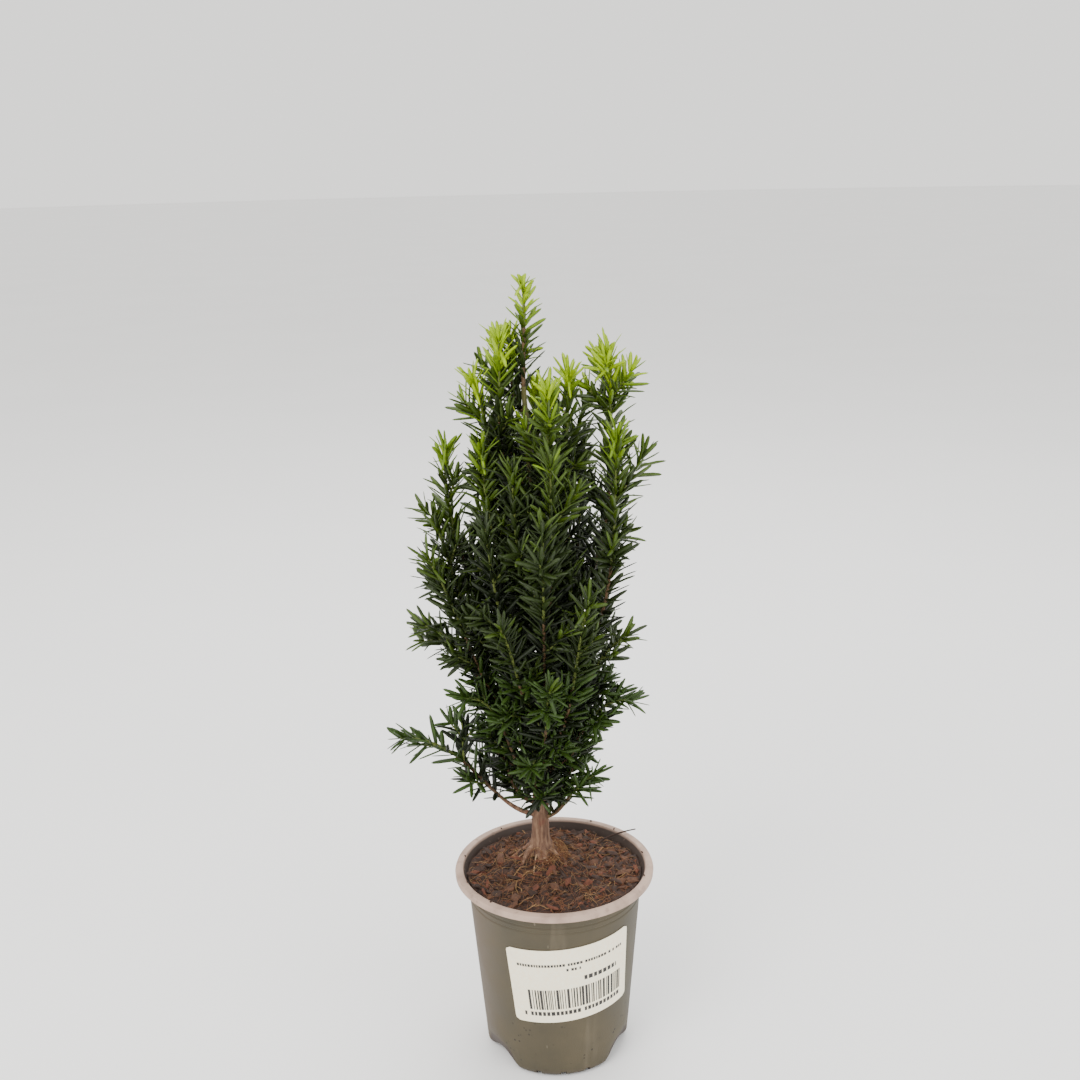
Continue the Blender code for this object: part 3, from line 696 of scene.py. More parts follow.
def draw_in_feet(mesh):
    """Draw the wall's foot in and up, in the hollows between the three feet."""
    period = turn_of(1, FEET)
    fade_round, fade_up = RECESS_FADES
    for vert in mesh.vertices:
        radius = math.hypot(vert.co.x, vert.co.y)
        if radius < FOOT_RADIUS * 0.6:
            continue
        angle = math.atan2(vert.co.y, vert.co.x)
        off = (angle - FOOT_TURN + period / 2) % period - period / 2
        around = max(0.0, 1 - (abs(off) - period / 2) ** 2 / RECESS_WIDTH**2)
        up = max(0.0, 1 - vert.co.z / RECESS_HEIGHT)
        recess = RECESS_DEPTH * around**fade_round * up**fade_up
        keep = (radius - recess) / radius
        vert.co.x *= keep
        vert.co.y *= keep
        vert.co.z += recess * RECESS_LIFT * up


def cut_slots(mesh):
    """Cut the drain slots through the bottom corner of the feet."""
    shape = bmesh.new()
    radius = wall_radius(FOOT_CORNER) - FOOT_CORNER * 0.5
    size = Matrix.Diagonal((*SLOT_SIZE, 1.0))
    for foot in range(FEET):
        for step in range(SLOTS_PER_FOOT):
            turn = FOOT_TURN + turn_of(foot, FEET)
            turn += (step - (SLOTS_PER_FOOT - 1) / 2) * SLOT_STEP
            spot = Matrix.Translation(round_at(radius, turn, 0.0))
            box = spot @ Matrix.Rotation(turn, 4, "Z") @ size
            bmesh.ops.create_cube(shape, size=1.0, matrix=box)
    cutter_mesh = bpy.data.meshes.new("slot_cutters")
    shape.to_mesh(cutter_mesh)
    shape.free()
    cutter = placed("slot_cutters", cutter_mesh)
    wall = placed("pot_wall", mesh)
    slots = wall.modifiers.new("Slots", "BOOLEAN")
    slots.operation = "DIFFERENCE"
    slots.object = cutter
    slots.solver = "EXACT"
    made = evaluated_mesh(wall)
    bpy.data.objects.remove(cutter, do_unlink=True)
    return made


def pot_plastic():
    """Olive taupe moulded plastic, its rim pale with dust and a painted top light, its inside dark
    with painted shade and soil stain, with scuffs and specks of soil.
    """
    finish = Finish("moulded_plastic")
    height = finish.height()
    cloud = finish.noise(28.0, 4.0)
    body = finish.ramp(
        cloud,
        (0.30, paint(58, 51, 33)),
        (0.52, paint(69, 61, 42)),
        (0.74, paint(80, 71, 51)),
    )
    warm = finish.between(finish.across(), -0.030, -0.058)
    body = finish.blend(warm * WARM_SIDE, body, paint(90, 72, 57))
    drag = finish.noise(60.0, 3.0, 0.6, (1.0, 1.0, 0.10))
    scuffs = finish.between(drag, 0.60, 0.74)
    body = finish.blend(scuffs * SCUFFS, body, paint(104, 94, 76))
    # The rim's paler colour is real dust together with a painted top light where light falls on the
    # roll
    dust_and_top_light = finish.noise(90.0, 4.0)
    rim = finish.shades(dust_and_top_light, (150, 126, 112), (176, 150, 134), 0.30, 0.60)
    on_rim = finish.between(height, LIP_HEIGHT - 0.0016, LIP_HEIGHT + 0.0004)
    blotches = finish.between(finish.noise(220.0, 2.0), 0.62, 0.70)
    body = finish.blend(on_rim, body, rim)
    slope = (WALL_TOP_RADIUS - FOOT_RADIUS) / (LIP_HEIGHT - FOOT_CORNER)
    off_wall = finish.from_axis() - height * slope - wall_radius(0.0)
    # This goes by distance from the axis, so its dark colour also falls in the recesses at the
    # foot, there as painted shade
    inner_wall_shade_and_soil = finish.between(off_wall, -0.0006, -0.0010)
    funnel = RIM_RADIUS - RIM_BREADTH
    in_funnel = finish.between(finish.from_axis(), funnel + 0.0006, funnel - 0.0004)
    # Just under the lip and inside the funnel's radius: painted shadow on the outer wall under the
    # rim and on the inner wall
    under_lip_shade = finish.between(height, LIP_HEIGHT - 0.0022, LIP_HEIGHT - 0.0014)
    # Painted dark: soil stain with painted shade inside the pot, and painted shadow under the rim's
    # lip
    inside = inner_wall_shade_and_soil + in_funnel * under_lip_shade
    body = finish.blend(inside, body, paint(50, 36, 28))
    specks = finish.between(finish.cells(300.0), 0.30, 0.18)
    low = finish.between(height, 0.062, 0.020)
    patches = finish.between(finish.noise(85.0, 2.0), 0.54, 0.62)
    body = finish.blend(specks * patches * low * SPECKS, body, paint(26, 20, 15))
    body = finish.blend(blotches * on_rim * RIM_BLOTCHES, body, paint(120, 100, 86))
    nicks = finish.between(finish.noise(260.0, 1.0, 0.5, (1.0, 1.0, 0.22)), 0.77, 0.80)
    body = finish.blend(nicks * NICKS, body, paint(150, 138, 118))
    relief = finish.noise(900.0, 2.0) * 0.6 + drag * 0.4
    rough = finish.between(cloud, 0.3, 0.7, 0.56, 0.70)
    normal = finish.bump(relief, 0.00012)
    return finish.wear(Base_Color=body, Roughness=rough, Normal=normal)


def make_pot():
    mesh = turned("pot_shell", pot_profile(), POT_SEGMENTS)
    draw_in_feet(mesh)
    mesh = cut_slots(mesh)
    piece("pot_shell", mesh, pot_plastic(), "pot_plastic", "pot", sharp=38)


# Label


def on_label(across, up, lift):
    """A spot on the sticker, from its middle, bent round the tapered wall."""
    height = LABEL_MIDDLE + up * math.cos(LABEL_TILT) + across * math.sin(LABEL_TILT)
    slide = across * math.cos(LABEL_TILT) - up * math.sin(LABEL_TILT)
    turn = LABEL_TURN + slide / wall_radius(LABEL_MIDDLE)
    return round_at(wall_radius(height) + GAP + lift, turn, height)


def label_lift(across, up):
    """Low bubbles and a slight lift of the sticker's lower right corner."""
    bubbles = noise.noise(Vector((across * 90, up * 110, 3.1))) * 0.00007
    corner = max(0.0, across / LABEL_WIDTH - up / LABEL_HEIGHT - 0.72)
    return max(0.0, bubbles) + corner * 0.0009


def label_sheet():
    """The sticker's sheet with its rounded corners, half its thickness deep."""
    spots = []
    for row in range(LABEL_ROWS):
        up = LABEL_HEIGHT * (row / (LABEL_ROWS - 1) - 0.5)
        edge = max(0.0, LABEL_CORNER - (LABEL_HEIGHT / 2 - abs(up)))
        inset = LABEL_CORNER - math.sqrt(LABEL_CORNER**2 - edge**2)
        for column in range(LABEL_COLUMNS):
            across = (LABEL_WIDTH - 2 * inset) * (column / (LABEL_COLUMNS - 1) - 0.5)
            spots.append(on_label(across, up, label_lift(across, up)))
    faces = grid_triangles(LABEL_ROWS, LABEL_COLUMNS, False)
    thing = placed("sheet", mesh_of("sheet", np.array(spots), faces))
    thickness = thing.modifiers.new("Thickness", "SOLIDIFY")
    thickness.thickness = LABEL_THICKNESS / 2
    thickness.offset = 1.0
    return evaluated_mesh(thing)


def print_stroke(pile, left, right, low, high):
    """One printed stroke, as a thin patch just over the sticker."""
    columns = max(2, int((right - left) / 0.002) + 2)
    spots = []
    for up in (low, high):
        for column in range(columns):
            across = mix(left, right, column / (columns - 1))
            lift = label_lift(across, up) + LABEL_THICKNESS / 2 + PRINT_LIFT
            spots.append(on_label(across, up, lift))
    pile.add(np.array(spots), grid_triangles(2, columns, False))


def print_line(pile, rng, left, right, up, size):
    """A line of words, as plain strokes of uneven length."""
    spot = left
    while spot < right:
        length = size * rng.uniform(0.5, 0.9)
        print_stroke(pile, spot, min(right, spot + length), up, up + size)
        word_ends = rng.uniform() < 0.2
        spot += length + size * (0.9 if word_ends else 0.28)


def label_print():
    rng = np.random.default_rng(5)
    pile = Pile()
    spot, end = BARS
    while spot < end:
        wide = rng.choice(BAR_WIDTHS)
        print_stroke(pile, spot, spot + wide, *BAR_HEIGHTS)
        spot += wide + rng.choice(BAR_SPACES)
    for line in PRINT_LINES:
        print_line(pile, rng, *line)
    return pile.mesh("label_print")


def label_paper():
    finish = Finish("label_paper")
    fibre = finish.noise(500.0, 3.0)
    stain = finish.between(finish.noise(40.0, 3.0), 0.56, 0.72) * 0.35
    colour = finish.shades(fibre, (254, 240, 208), (255, 249, 224))
    colour = finish.blend(stain, colour, paint(228, 217, 196))
    normal = finish.bump(fibre, 0.00005)
    return finish.wear(Base_Color=colour, Roughness=0.5, Normal=normal)


def print_ink():
    finish = Finish("print_ink")
    patchy = finish.noise(700.0, 2.0)
    colour = finish.shades(patchy, (30, 28, 28), (58, 54, 52), 0.35, 0.75)
    return finish.wear(Base_Color=colour, Roughness=0.6)


def make_label():
    piece("label_sheet", label_sheet(), label_paper(), "label_paper", "label", sharp=40)
    piece("label_print", label_print(), print_ink(), "label_paper")


# Compost


def compost_height(x, y):
    """The compost's surface: a mound round the trunk, higher to the front, with lumps."""
    away = math.hypot(x - TRUNK_FOOT.x, y - TRUNK_FOOT.y)
    front = 0.5 - 0.5 * y / WALL_TOP_RADIUS
    edge = COMPOST_EDGE + COMPOST_FRONT_RISE * front
    mound = (SEAT_HEIGHT - edge) * math.exp(-((away / MOUND_BREADTH) ** 2))
    lumps = math.sin(x * 410 + 1.3) * math.sin(y * 365 + 0.4)
    lumps += 0.6 * math.sin(x * 790 - y * 640)
    fine = noise.fractal(Vector((x * 260, y * 260, 1.7)), 0.9, 2.1, 4) * 0.0014
    height = edge + mound + (COMPOST_LUMP * 0.6 * lumps + fine) * min(1.0, away / 0.02)
    return min(height, SEAT_HEIGHT + 0.0008)


def compost_edge(turn):
    """How far out the compost's edge is set at a bearing.

    At the front, just under the lip, this passes the pot's wall by up to a millimetre.
    """
    inner = wall_radius(LIP_HEIGHT) - WALL
    level = COMPOST_EDGE + COMPOST_FRONT_RISE * (0.5 - 0.5 * math.sin(turn))
    flare = min(1.0, (level - (LIP_HEIGHT - 0.001)) / (RIM_LIP - 0.0007))
    if flare < 0:
        return wall_radius(level) - WALL - GAP
    return mix(inner, RIM_RADIUS - RIM_BREADTH, flare) - GAP * 2


def compost_bed():
    """The top of the compost with a skirt that runs down inside the wall."""
    turns = [turn_of(step, BED_SEGMENTS) for step in range(BED_SEGMENTS)]
    spots = []
    for ring in range(BED_RINGS + 1):
        share = ring / BED_RINGS
        for turn in turns:
            edge = compost_edge(turn)
            x = edge * share * math.cos(turn) + TRUNK_FOOT.x * (1 - share)
            y = edge * share * math.sin(turn) + TRUNK_FOOT.y * (1 - share)
            spots.append((x, y, compost_height(x, y)))
    for height, share in BED_SKIRT:
        radius = (wall_radius(height) - WALL - GAP) * share
        spots += [round_at(radius, turn, height) for turn in turns]
    bottom = len(spots)
    spots.append((0.0, 0.0, BED_SKIRT[-1][0]))
    faces = grid_triangles(BED_RINGS + 1 + len(BED_SKIRT), BED_SEGMENTS, True)[:, ::-1]
    start = bottom - BED_SEGMENTS
    cap = [(bottom, start + (i + 1) % BED_SEGMENTS, start + i) for i in range(BED_SEGMENTS)]
    mesh = mesh_of("compost_bed", np.array(spots), np.vstack([faces, np.array(cap)]))
    shape = bmesh.new()
    shape.from_mesh(mesh)
    bmesh.ops.remove_doubles(shape, verts=shape.verts, dist=0.000001)
    bmesh.ops.recalc_face_normals(shape, faces=shape.faces)
    shape.to_mesh(mesh)
    shape.free()
    return mesh


def scattered(rng, count):
    """Spots strewn over the compost, clear of the trunk and of the compost's edge."""
    found = []
    while len(found) < count:
        turn = rng.uniform(0, 2 * math.pi)
        radius = (compost_edge(turn) - OFF_EDGE) * math.sqrt(rng.uniform())
        x, y, _ = round_at(radius, turn, 0.0)
        if math.hypot(x - TRUNK_FOOT.x, y - TRUNK_FOOT.y) > OFF_TRUNK:
            found.append((x, y))
    return found


def chip(rng, long, wide, thick):
    """A flat broken flake of bark with bevelled ends, its corners all a little off."""
    sides = rng.integers(5, 8)
    uneven = rng.uniform(0, 2 * math.pi, sides) * 0.25
    turns = np.sort(uneven + turn_of(np.arange(sides), sides))
    outline = np.stack([np.cos(turns) * long / 2, np.sin(turns) * wide / 2], axis=1)
    outline *= rng.uniform(0.75, 1.15, (sides, 1))
    layers = []
    for level, size in ((-0.5, 0.75), (0.0, 1.0), (0.5, 0.80)):
        layer = np.zeros((sides, 3))
        layer[:, :2] = outline * size
        layer[:, 2] = level * thick + rng.uniform(-0.18, 0.18, sides) * thick
        layers.append(layer)
    spots = np.vstack(layers + [[(0, 0, -0.5 * thick)], [(0, 0, 0.6 * thick)]])
    bow = (spots[:, 0] / long) ** 2 * thick * rng.uniform(-1.2, 1.2)
    spots[:, 2] += bow
    return spots, capped_triangles(len(layers), sides)


def laid(spots, rng, x, y, height, tilt):
    """Spots of a small form turned at random, tipped a little and laid at a place."""
    turn = Matrix.Rotation(rng.uniform(0, 2 * math.pi), 3, "Z")
    tip = Matrix.Rotation(rng.normal(0, tilt), 3, "X")
    tip = tip @ Matrix.Rotation(rng.normal(0, tilt), 3, "Y")
    return spots @ np.array(turn @ tip).T + (x, y, height)


def bark_chips(piles):
    rng = np.random.default_rng(11)
    for x, y in scattered(rng, CHIPS):
        large = rng.uniform() < LARGE_CHIPS
        long = rng.uniform(0.006, 0.013) if large else rng.uniform(0.0018, 0.005)
        room = compost_edge(math.atan2(y, x)) - math.hypot(x, y)
        long = min(long, 0.004 + 2 * room)
        wide = long * rng.uniform(0.3, 0.65)
        thick = min(0.0016, wide * rng.uniform(0.25, 0.5))
        spots, faces = chip(rng, long, wide, thick)
        height = compost_height(x, y) + thick * 0.35
        kind = rng.choice(tuple(CHIP_ODDS), p=tuple(CHIP_ODDS.values()))
        piles[kind].add(laid(spots, rng, x, y, height, 0.28), faces)


def crumbs_on_rim(pile):
    """A few crumbs of compost that lie on the rim."""
    rng = np.random.default_rng(8)
    for bearing in CRUMB_BEARINGS:
        turn = math.radians(bearing + rng.uniform(-3, 3))
        radius = RIM_RADIUS - rng.uniform(0.0030, 0.0055)
        spots, faces = chip(rng, rng.uniform(0.0016, 0.0034), 0.0011, 0.0007)
        flat = laid(spots, rng, *round_at(radius, turn, CRUMB_HEIGHT), 0.05)
        pile.add(np.minimum(flat, (1.0, 1.0, CRUMB_TOP)), faces)


def twig_over_rim(pile):
    """A short dead twig that lies from the compost over the rim."""
    bearings, radii, heights = zip(*DEAD_TWIG)
    points = []
    for i in range(8):
        share = i / 7
        turn = math.radians(mix(*bearings, share))
        points.append(round_at(mix(*radii, share), turn, mix(*heights, share**0.7)))
    pile.add(*tube(points, [DEAD_TWIG_RADIUS - 0.00004 * i for i in range(8)], 7))


def fibre(rng, x, y, length, radius, rise):
    """A thin strand that lies in a shallow curve over the compost."""
    turn = rng.uniform(0, 2 * math.pi)
    swing = rng.uniform(-0.7, 0.7)
    points = []
    for i in range(7):
        share = i / 6
        angle = turn + swing * (share - 0.5)
        out = length * (share - 0.5)
        px = x + out * math.cos(angle)
        py = y + out * math.sin(angle)
        away = math.hypot(px, py)
        limit = compost_edge(math.atan2(py, px)) - 0.001
        if away > limit:
            px *= limit / away
            py *= limit / away
        arch = rise * math.sin(math.pi * share) + rng.uniform(0, 0.0004)
        points.append((px, py, compost_height(px, py) + 0.0002 + arch))
    return tube(points, [radius * (1 - 0.5 * abs(i / 3 - 1)) for i in range(7)], 4)


def fibre_kind(rng):
    return "straw" if rng.uniform() < STRAW_ODDS else "red_fibre"


def compost_fibres(piles):
    """Fibres all over the compost, a heap of them beside the trunk, and a few straws."""
    rng = np.random.default_rng(23)
    for x, y in scattered(rng, FIBRES):
        length = rng.uniform(0.005, 0.020)
        radius = rng.uniform(0.00008, 0.00017)
        kind = fibre_kind(rng)
        piles[kind].add(*fibre(rng, x, y, length, radius, rng.uniform(0, 0.002)))
    for _ in range(HEAP_FIBRES):
        away = rng.uniform(0.007, 0.018)
        turn = rng.normal(0.2, 1.3)
        x = TRUNK_FOOT.x + away * math.cos(turn)
        y = TRUNK_FOOT.y + away * math.sin(turn)
        kind = fibre_kind(rng)
        arch = rng.uniform(0.0008, 0.0072) * math.exp(-((away / 0.016) ** 2)) * 1.6
        piles[kind].add(*fibre(rng, x, y, rng.uniform(0.007, 0.015), 0.00016, arch))
    for x, y in scattered(rng, STRAWS):
        length = rng.uniform(0.010, 0.021)
        piles["straw"].add(*fibre(rng, x, y, length, rng.uniform(0.00020, 0.00034), 0.0015))


def crumbly(name, dark, light, scale):
    """A rough earthy finish between two colours, with grain at the given scale."""
    finish = Finish(name)
    grain = finish.noise(scale, 5.0, 0.65)
    colour = finish.shades(grain, dark, light, 0.32)
    fine = finish.noise(scale * 4, 3.0)
    normal = finish.bump(grain * 0.6 + fine * 0.4, 0.0004)
    return finish.wear(Base_Color=colour, Roughness=0.9, Normal=normal)


def make_compost():
    bed = crumbly("compost_dark", (28, 17, 12), (66, 42, 30), 320.0)
    piece("compost_bed", compost_bed(), bed, "bark_compost", "compost")
    piles = {kind: Pile() for kind in COMPOST_KINDS}
    bark_chips(piles)
    crumbs_on_rim(piles["dark"])
    twig_over_rim(piles["dark"])
    compost_fibres(piles)
    for kind, finish in COMPOST_KINDS.items():
        name = f"compost_{kind}"
        piece(name, piles[kind].mesh(name), crumbly(*finish), "bark_compost", sharp=50)


# Trunk and boughs


def trunk_at(height):
    """Centre and radius of the trunk at a height."""
    heights, xs, ys, radii = zip(*TRUNK_STATIONS)
    centre = np.array((np.interp(height, heights, xs), np.interp(height, heights, ys), height))
    return centre, float(np.interp(height, heights, radii))


def bark_relief(turn, along, size):
    """How far the bark stands out: long fibrous ridges, a few scales and knots."""
    ridge = noise.fractal(Vector(round_at(3.2, turn, along * 70)), 0.8, 2.2, 4)
    fine = noise.noise(Vector(round_at(9, turn, along * 260)))
    return size * (ridge * 0.9 + fine * 0.45)


def trunk_form():
    """The trunk with its bark and root flare, closed at the flat cut and at the fork."""
    low = TRUNK_STATIONS[0][0]
    high = TRUNK_STATIONS[-1][0]
    spots = []
    for ring in range(TRUNK_RINGS + 1):
        height = mix(low, high, (ring / TRUNK_RINGS) ** 1.3)
        centre, radius = trunk_at(height)
        above = height - low
        for side in range(TRUNK_SIDES):
            turn = turn_of(side, TRUNK_SIDES)
            grow = 1.0
            if above < FLARE_HEIGHT:
                lobe = 0.72 + 0.28 * math.cos(FLARE_ROOTS * turn + 0.7)
                grow += FLARE_SPREAD * lobe * (1 - above / FLARE_HEIGHT) ** 2
            relief = bark_relief(turn, height, BARK_RELIEF * min(1.0, radius / 0.004))
            x, y, _ = round_at(radius * grow + relief, turn, height)
            spots.append((centre[0] + x, centre[1] + y, height))
    spots += [tuple(trunk_at(low)[0]), tuple(trunk_at(high)[0] + UP * 0.0006)]
    return np.array(spots), capped_triangles(TRUNK_RINGS + 1, TRUNK_SIDES)


def bark_tube(points, radii, sides, seed):
    """A tube whose surface is broken up by bark."""
    spots, faces = tube(points, radii, sides)
    count = len(points) * sides
    centres = np.repeat(np.asarray(points, float), sides, axis=0)
    outward = unit(spots[:count] - centres)
    for i in range(count):
        along = (i // sides) * 0.0011 + seed
        relief = bark_relief(turn_of(i % sides, sides), along, radii[i // sides] * 0.10)
        spots[i] += outward[i] * relief
    return spots, faces


def root_points(turn, reach, rise):
    """A surface root that leaves the flare and dives into the compost."""
    points = []
    for i in range(ROOT_STEPS):
        share = i / (ROOT_STEPS - 1)
        out = 0.004 + reach * share
        x = TRUNK_FOOT.x + out * math.cos(turn + 0.3 * share)
        y = TRUNK_FOOT.y + out * math.sin(turn + 0.3 * share)
        above = rise * (1 - share) ** 1.5 - 0.0022 * share
        points.append((x, y, compost_height(x, y) + above))
    return points


def surface_roots(pile, roots, sides, taper):
    for turn, reach, rise, radius in roots:
        radii = [radius * (1 - taper * i / (ROOT_STEPS - 1)) for i in range(ROOT_STEPS)]
        pile.add(*bark_tube(root_points(turn, reach, rise), radii, sides, turn))


def trunk_bark():
    """Brown fibrous bark with darker furrows and pale worn threads."""
    finish = Finish("fibrous_bark")
    long_grain = finish.noise(420.0, 5.0, 0.65, (1.0, 1.0, 0.16))
    blotch = finish.noise(120.0, 3.0)
    colour = finish.ramp(
        long_grain,
        (0.30, paint(66, 43, 33)),
        (0.50, paint(104, 76, 58)),
        (0.72, paint(146, 116, 92)),
    )
    reddish = finish.between(blotch, 0.52, 0.70)
    colour = finish.blend(reddish * 0.5, colour, paint(112, 62, 46))
    young = finish.between(finish.height(), 0.330, 0.420)
    colour = finish.blend(young * 0.85, colour, paint(78, 82, 36))
    normal = finish.bump(long_grain, 0.0006)
    return finish.wear(Base_Color=colour, Roughness=0.86, Normal=normal)


def woody(name, dark, light, scale, stretch, dark_ends, rough):
    """A fine grain along a root or a twig, between two colours."""
    finish = Finish(name)
    grain = finish.noise(scale, 3.0, 0.6, (1.0, 1.0, stretch))
    colour = finish.shades(grain, dark, light, dark_ends)
    normal = finish.bump(grain, 0.0003)
    return finish.wear(Base_Color=colour, Roughness=rough, Normal=normal)


# Shoots


def shoot_path(shoot):
    """The curve of a shoot, from the trunk's bark to the end of its stem."""
    start, bark = trunk_at(shoot.leaves)
    turn = math.radians(shoot.azimuth)
    out = np.array((math.cos(turn), math.sin(turn), 0.0))
    lean = math.radians(shoot.lean)
    heading = out * math.cos(lean) + UP * math.sin(lean)
    end = start + out * shoot.reach
    end[2] = shoot.top
    end = end - heading * TIP_REACH
    first = start + out * (bark * 0.7)
    span = np.linalg.norm(end - first)
    leave = out * math.cos(LEAVE_ANGLE) + UP * math.sin(LEAVE_ANGLE)
    second = first + leave * span * 0.30
    third = end - heading * span * 0.40
    return lambda share: bezier(first, second, third, end, share)


def leader_path():
    """The topmost stem grows straight on from the trunk's fork."""
    start = trunk_at(TRUNK_STATIONS[-1][0])[0]
    end = np.array((*LEADER_TIP, LEADER_TOP - TIP_REACH))
    second = start + (end - start) * 0.35
    third = start + (end - start) * 0.7 + np.array((0.0015, 0.0, 0.0))
    return lambda share: bezier(start, second, third, end, share)


def bezier(a, b, c, d, share):
    """The point at each share of a curve, for one share or a row of them."""
    share = np.asarray(share, float)[..., None]
    rest = 1 - share
    return a * rest**3 + b * 3 * rest**2 * share + c * 3 * rest * share**2 + d * share**3


def length_of(points):
    return float(np.linalg.norm(np.diff(points, axis=0), axis=1).sum())


def needle_form():
    """One needle along X, 1 long and 1 wide: a flat blade with a keel and a point."""
    spots = []
    for share, breadth in zip(NEEDLE_SHARES, NEEDLE_BREADTHS):
        half = breadth / 2
        keel = NEEDLE_KEEL * breadth
        for across, up in ((half, 0.0), (0.0, keel), (-half, 0.0), (0.0, -keel)):
            spots.append((share, across, up))
    spots.append((1.0, 0.0, 0.0))
    faces = [tuple(face) for face in grid_triangles(len(NEEDLE_SHARES), 4, True)]
    last = (len(NEEDLE_SHARES) - 1) * 4
    tip = last + 4
    faces += [(last + i, last + (i + 1) % 4, tip) for i in range(4)]
    faces += [(0, 3, 2), (0, 2, 1)]
    return np.array(spots), np.array(faces)


class Needles:
    """Needles of one green, kept as rows and made into a mesh all at once."""

    def __init__(self):
        self.rows = []

    def add(self, rows):
        if len(rows):
            self.rows.append(rows)

    def meshes(self, name):
        """Joined meshes of these needles, each under the limit on triangles."""
        form, faces = needle_form()
        rows = np.vstack(self.rows)
        most = PIECE_LIMIT // len(faces)
        for part, start in enumerate(range(0, len(rows), most)):
            some = rows[start : start + most]
            root, aim, top = some[:, None, 0:3], some[:, None, 3:6], some[:, None, 6:9]
            length, width, bend, sweep = (some[:, None, i, None] for i in range(9, 13))
            side = np.cross(top, aim)
            x, y, z = form[None, :, 0:1], form[None, :, 1:2], form[None, :, 2:3]
            spots = root + aim * x * length
            spots = spots + side * (y * width + sweep * length * x**2)
            spots = spots + top * (z * width - bend * length * x**2)
            offsets = np.arange(len(some))[:, None, None] * len(form)
            triangles = (faces[None] + offsets).reshape(-1, 3)
            yield mesh_of(f"{name}_{part}", spots.reshape(-1, 3), triangles)


